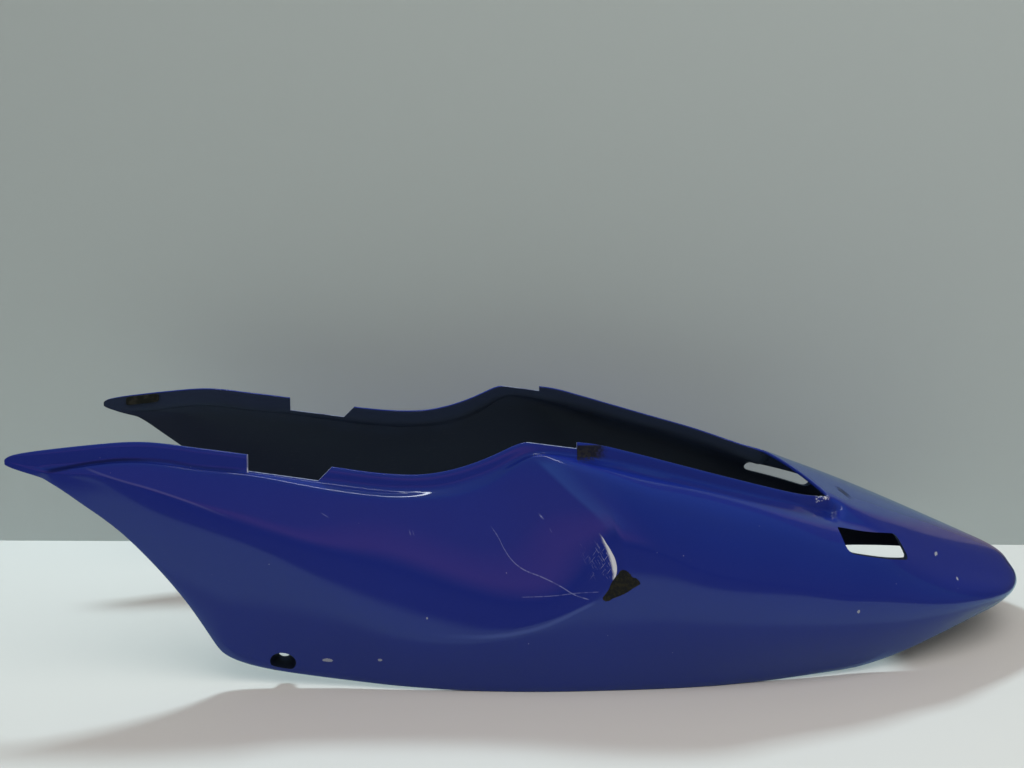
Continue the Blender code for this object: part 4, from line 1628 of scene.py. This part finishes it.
@dataclass
class FoamStrip:
    """A strip of sealing foam on the inner face of a wing tongue."""

    side: Side
    foam: Foam
    steps: int = 30
    sides: int = 28
    squareness: float = 5.0
    end_size: float = 0.55

    def build(self) -> bpy.types.Object:
        """Returns the strip, crowned and soft at its corners, in the space of its solid."""
        node = f"foam_pad_{self.side.name.lower()}"
        low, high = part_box(node)
        solid = foam_section(node)
        strip = bmesh.new()
        rows = []
        for i in range(self.steps + 1):
            share = i / self.steps
            size = self.end_size + (1 - self.end_size) * (1 - abs(2 * share - 1) ** 12) ** 0.5
            x = low.x + (high.x - low.x) * share
            middle, half_y, half_z = solid(x)
            row = []
            for k in range(self.sides):
                turn = 2 * math.pi * k / self.sides
                c, s = math.cos(turn), math.sin(turn)
                power = 2 / self.squareness
                across, up = (math.copysign(abs(a) ** power, a) for a in (c, s))
                y, z = middle.y + half_y * across * size, middle.z + half_z * up * size
                row.append(strip.verts.new((x, y, z)))
            rows.append(row)
        for a, b in zip(rows, rows[1:]):
            for k in range(self.sides):
                j = (k + 1) % self.sides
                strip.faces.new((a[k], a[j], b[j], b[k]))
        strip.faces.new(rows[0][::-1])
        strip.faces.new(rows[-1])
        bmesh.ops.recalc_face_normals(strip, faces=strip.faces[:])
        for face in strip.faces:
            face.smooth = len(face.verts) == 4
        mesh = bpy.data.meshes.new(f"foam_strip_{self.side.name.lower()}")
        strip.to_mesh(mesh)
        strip.free()
        mesh.materials.append(self.foam.material())
        piece = bpy.data.objects.new(mesh.name, mesh)
        bpy.context.scene.collection.objects.link(piece)
        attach(piece, "root")
        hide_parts(node)
        return piece


def foam_section(node: str, reach: float = 0.0012) -> Callable[[float], tuple[Vector, float, float]]:
    """Reads the slanted box of a foam solid.

    Args:
        node: the solid's name in the frame.
        reach: how near to an end a corner of the solid counts to it.

    Returns:
        A function of x that gives the section's middle and its half sizes along y and z.
    """
    low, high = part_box(node)
    points = np.array([v.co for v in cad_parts[node].data.vertices])
    ends = []
    for x in (low.x, high.x):
        near = points[np.abs(points[:, 0] - x) < reach]
        ends.append((near.min(0), near.max(0)))

    def section(x: float) -> tuple[Vector, float, float]:
        """Reads the section at one station.

        Args:
            x: the station.

        Returns:
            Its middle and its half sizes along y and z.
        """
        share = (x - low.x) / (high.x - low.x)
        lo, hi = (ends[0][i] * (1 - share) + ends[1][i] * share for i in (0, 1))
        return Vector((lo + hi) / 2), float(hi[1] - lo[1]) / 2, float(hi[2] - lo[2]) / 2

    return section


# Studio


@dataclass(frozen=True)
class Lamp:
    """A soft lamp that points at the part. A gleam shows only in gloss, and any other lamp doesn't."""

    name: str
    place: Triple
    size: Pair
    power: float
    tint: Colour
    gleam: bool = False

    def build(self) -> None:
        """Hangs the lamp."""
        data = bpy.data.lights.new(self.name, "AREA")
        data.shape, data.size, data.size_y = "RECTANGLE", *self.size
        data.energy, data.color = self.power, self.tint
        lamp = bpy.data.objects.new(self.name, data)
        lamp.location = self.place
        lamp.rotation_euler = (-Vector(self.place)).to_track_quat("-Z", "Y").to_euler()
        lamp.visible_glossy, lamp.visible_diffuse = self.gleam, not self.gleam
        bpy.context.scene.collection.objects.link(lamp)


@dataclass
class Studio:
    """The table, the backdrop, the lamps and the camera."""

    reach: float = 4.0
    table: Colour = (0.665, 0.665, 0.655)
    dark_room: Colour = (0.09, 0.09, 0.11)
    mirror_end: Pair = (0.52, 0.74)
    table_mirror_x: Pair = (0.55, 0.62)
    wall_mirror_x: Pair = (0.565, 0.590)
    wall_mirror_z: Pair = (0.46, 0.54)
    frame_mirror_x: Pair = (0.46, 0.54)
    frame_mirror: Colour = (0.30, 0.26, 0.26)
    wall_mirror: Colour = (0.25, 0.35, 0.38)
    table_mirror: Colour = (0.38, 0.51, 0.56)
    wall: Colour = (0.420, 0.480, 0.480)
    wall_height: float = 0.80
    room_front: tuple[tuple[float, Colour], ...] = (
        (-60.0, (0.08, 0.09, 0.12)), (-1.0, (0.09, 0.10, 0.15)), (1.2, (0.50, 0.24, 0.43)),
        (3.5, (0.40, 0.21, 0.38)), (6.5, (0.24, 0.19, 0.32)), (22.0, (0.18, 0.19, 0.31)),
        (40.0, (0.15, 0.24, 0.33)), (80.0, (0.16, 0.28, 0.34)),
    )
    room_rear: tuple[tuple[float, Colour], ...] = (
        (-60.0, (0.07, 0.09, 0.12)), (-4.0, (0.07, 0.10, 0.14)), (0.0, (0.10, 0.12, 0.17)),
        (40.0, (0.08, 0.17, 0.24)), (80.0, (0.12, 0.26, 0.33)),
    )
    room_turn: Pair = (-0.02, 0.26)
    fill: Colour = (0.235, 0.225, 0.215)
    seen_room: Colour = (0.62, 0.64, 0.64)
    lamps: tuple[Lamp, ...] = (
        Lamp("window_soft", (-0.42, 0.90, 1.75), (0.34, 0.26), 26.0, (0.76, 0.955, 1.0)),
        Lamp("ceiling_soft", (0.5, -1.3, 2.0), (3.0, 2.0), 41.0, (1.0, 0.94, 0.88)),
        Lamp("ceiling_gleam", (-0.10, -0.1, 2.2), (1.1, 0.09), 5.0, (0.88, 0.94, 1.0), True),
    )
    wall_place: Triple = (0.0, 0.2285, 0.0)
    wall_turn: float = -3.27
    camera_place: Triple = (-0.113, -0.97356, 0.357)
    camera_turn: Triple = (81.5508, -0.5781, -4.3740)
    lens: float = 39.55

    @staticmethod
    def _panel(name: str, corners: Sequence[Triple], finish: bpy.types.Material) -> bpy.types.Object:
        """Makes a flat panel that isn't part of the object.

        Args:
            name: the panel's name.
            corners: its corners in order.
            finish: its material.

        Returns:
            The panel.
        """
        mesh = bpy.data.meshes.new(name)
        mesh.from_pydata([Vector(c) for c in corners], [], [tuple(range(len(corners)))])
        mesh.materials.append(finish)
        panel = bpy.data.objects.new(name, mesh)
        bpy.context.scene.collection.objects.link(panel)
        return panel

    def _table_finish(self) -> bpy.types.Material:
        """Returns the plain pale table top, which gloss mirrors only near the part."""
        shader, made = Shader.material("table_top")
        x, y, _ = shader.axes(shader.place())
        far = shader.ramp(-y, *self.mirror_end) | shader.ramp(x, *self.table_mirror_x)
        gloss = shader.node("ShaderNodeLightPath", out="Is Glossy Ray")
        colour = shader.blend(gloss, self.table, shader.blend(far, self.table_mirror, self.dark_room))
        shader.surface({"Base Color": colour, "Roughness": 0.55, "Specular IOR Level": 0.2})
        return made

    def _wall_finish(self) -> bpy.types.Material:
        """Returns the plain grey wall, clear from behind, which gloss mirrors only near the part."""
        shader, made = Shader.material("backdrop")
        x, _, z = shader.axes(shader.place())
        far = shader.ramp(x, *self.wall_mirror_x) | shader.ramp(z, *self.wall_mirror_z)
        gloss = shader.node("ShaderNodeLightPath", out="Is Glossy Ray")
        mirrored = shader.blend(shader.ramp(x, *self.frame_mirror_x), self.wall_mirror, self.frame_mirror)
        colour = shader.blend(gloss, self.wall, shader.blend(far, mirrored, self.dark_room))
        shader.surface({"Base Color": colour, "Roughness": 0.8, "Specular IOR Level": 0.1})
        behind = shader.node("ShaderNodeNewGeometry", out="Backfacing")
        clear = shader.node("ShaderNodeBsdfTransparent")
        body = Sock(shader, shader.tree.nodes["Principled BSDF"].outputs[0])
        one_sided = shader.node("ShaderNodeMixShader", inputs={0: behind, 1: body, 2: clear})
        shader.link(shader.tree.nodes["Material Output"].inputs["Surface"], one_sided)
        return made

    def _world(self) -> None:
        """Lights the room: dark below, violet at eye level, and brighter up to the ceiling."""
        world = bpy.data.worlds.new("studio")
        world.use_nodes = True
        bpy.context.scene.world = world
        shader = Shader(world.node_tree)
        x, _, z = shader.axes(shader.node("ShaderNodeTexCoord", out="Generated"))
        sides = []
        for bands in (self.room_front, self.room_rear):
            stops = [(0.5 + 0.5 * math.sin(math.radians(e)), colour) for e, colour in bands]
            sides.append(shader.node("ShaderNodeValToRGB", {"stops": stops}, {"Fac": z * 0.5 + 0.5}))
        room = shader.blend(shader.ramp(x, *self.room_turn), *sides)
        gloss = shader.node("ShaderNodeLightPath", out="Is Glossy Ray")
        seen = shader.node("ShaderNodeLightPath", out="Is Camera Ray")
        colour = shader.blend(seen, shader.blend(gloss, self.fill, room), self.seen_room)
        shader.link(world.node_tree.nodes["Background"].inputs["Color"], colour)

    def build(self) -> None:
        """Sets the stage and the camera."""
        r, top = self.reach, self.wall_height
        self._panel("table_top", ((-r, -r, 0), (r, -r, 0), (r, r, 0), (-r, r, 0)), self._table_finish())
        corners = ((-r, 0, 0), (r, 0, 0), (r, 0, top), (-r, 0, top))
        wall = self._panel("backdrop", corners, self._wall_finish())
        turn = Matrix.Rotation(math.radians(self.wall_turn), 4, "Z")
        wall.matrix_world = Matrix.Translation(self.wall_place) @ turn
        wall.visible_shadow = False
        for lamp in self.lamps:
            lamp.build()
        self._world()
        data = bpy.data.cameras.new("camera")
        data.lens, data.sensor_width = self.lens, 36.0
        data.clip_start, data.clip_end = 0.05, 50.0
        camera = bpy.data.objects.new("camera", data)
        camera.location = self.camera_place
        camera.rotation_euler = [math.radians(a) for a in self.camera_turn]
        bpy.context.scene.collection.objects.link(camera)
        bpy.context.scene.camera = camera
        bpy.context.scene.view_settings.view_transform = "Standard"


def main() -> None:
    """Builds the fairing and the studio, and reports each piece."""
    logging.basicConfig(level=logging.INFO, format="%(name)s: %(message)s")
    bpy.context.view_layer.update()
    foam = Foam()
    pieces = [Moulding(BluePaint(), BarePlastic(), RubbedEdge()).build()]
    pieces += [FoamStrip(side, foam).build() for side in Side]
    for piece in pieces:
        LOG.info("%s: %d faces", piece.name, len(piece.data.polygons))
    Studio().build()
    bpy.context.view_layer.update()


if __name__ == "__main__":
    main()
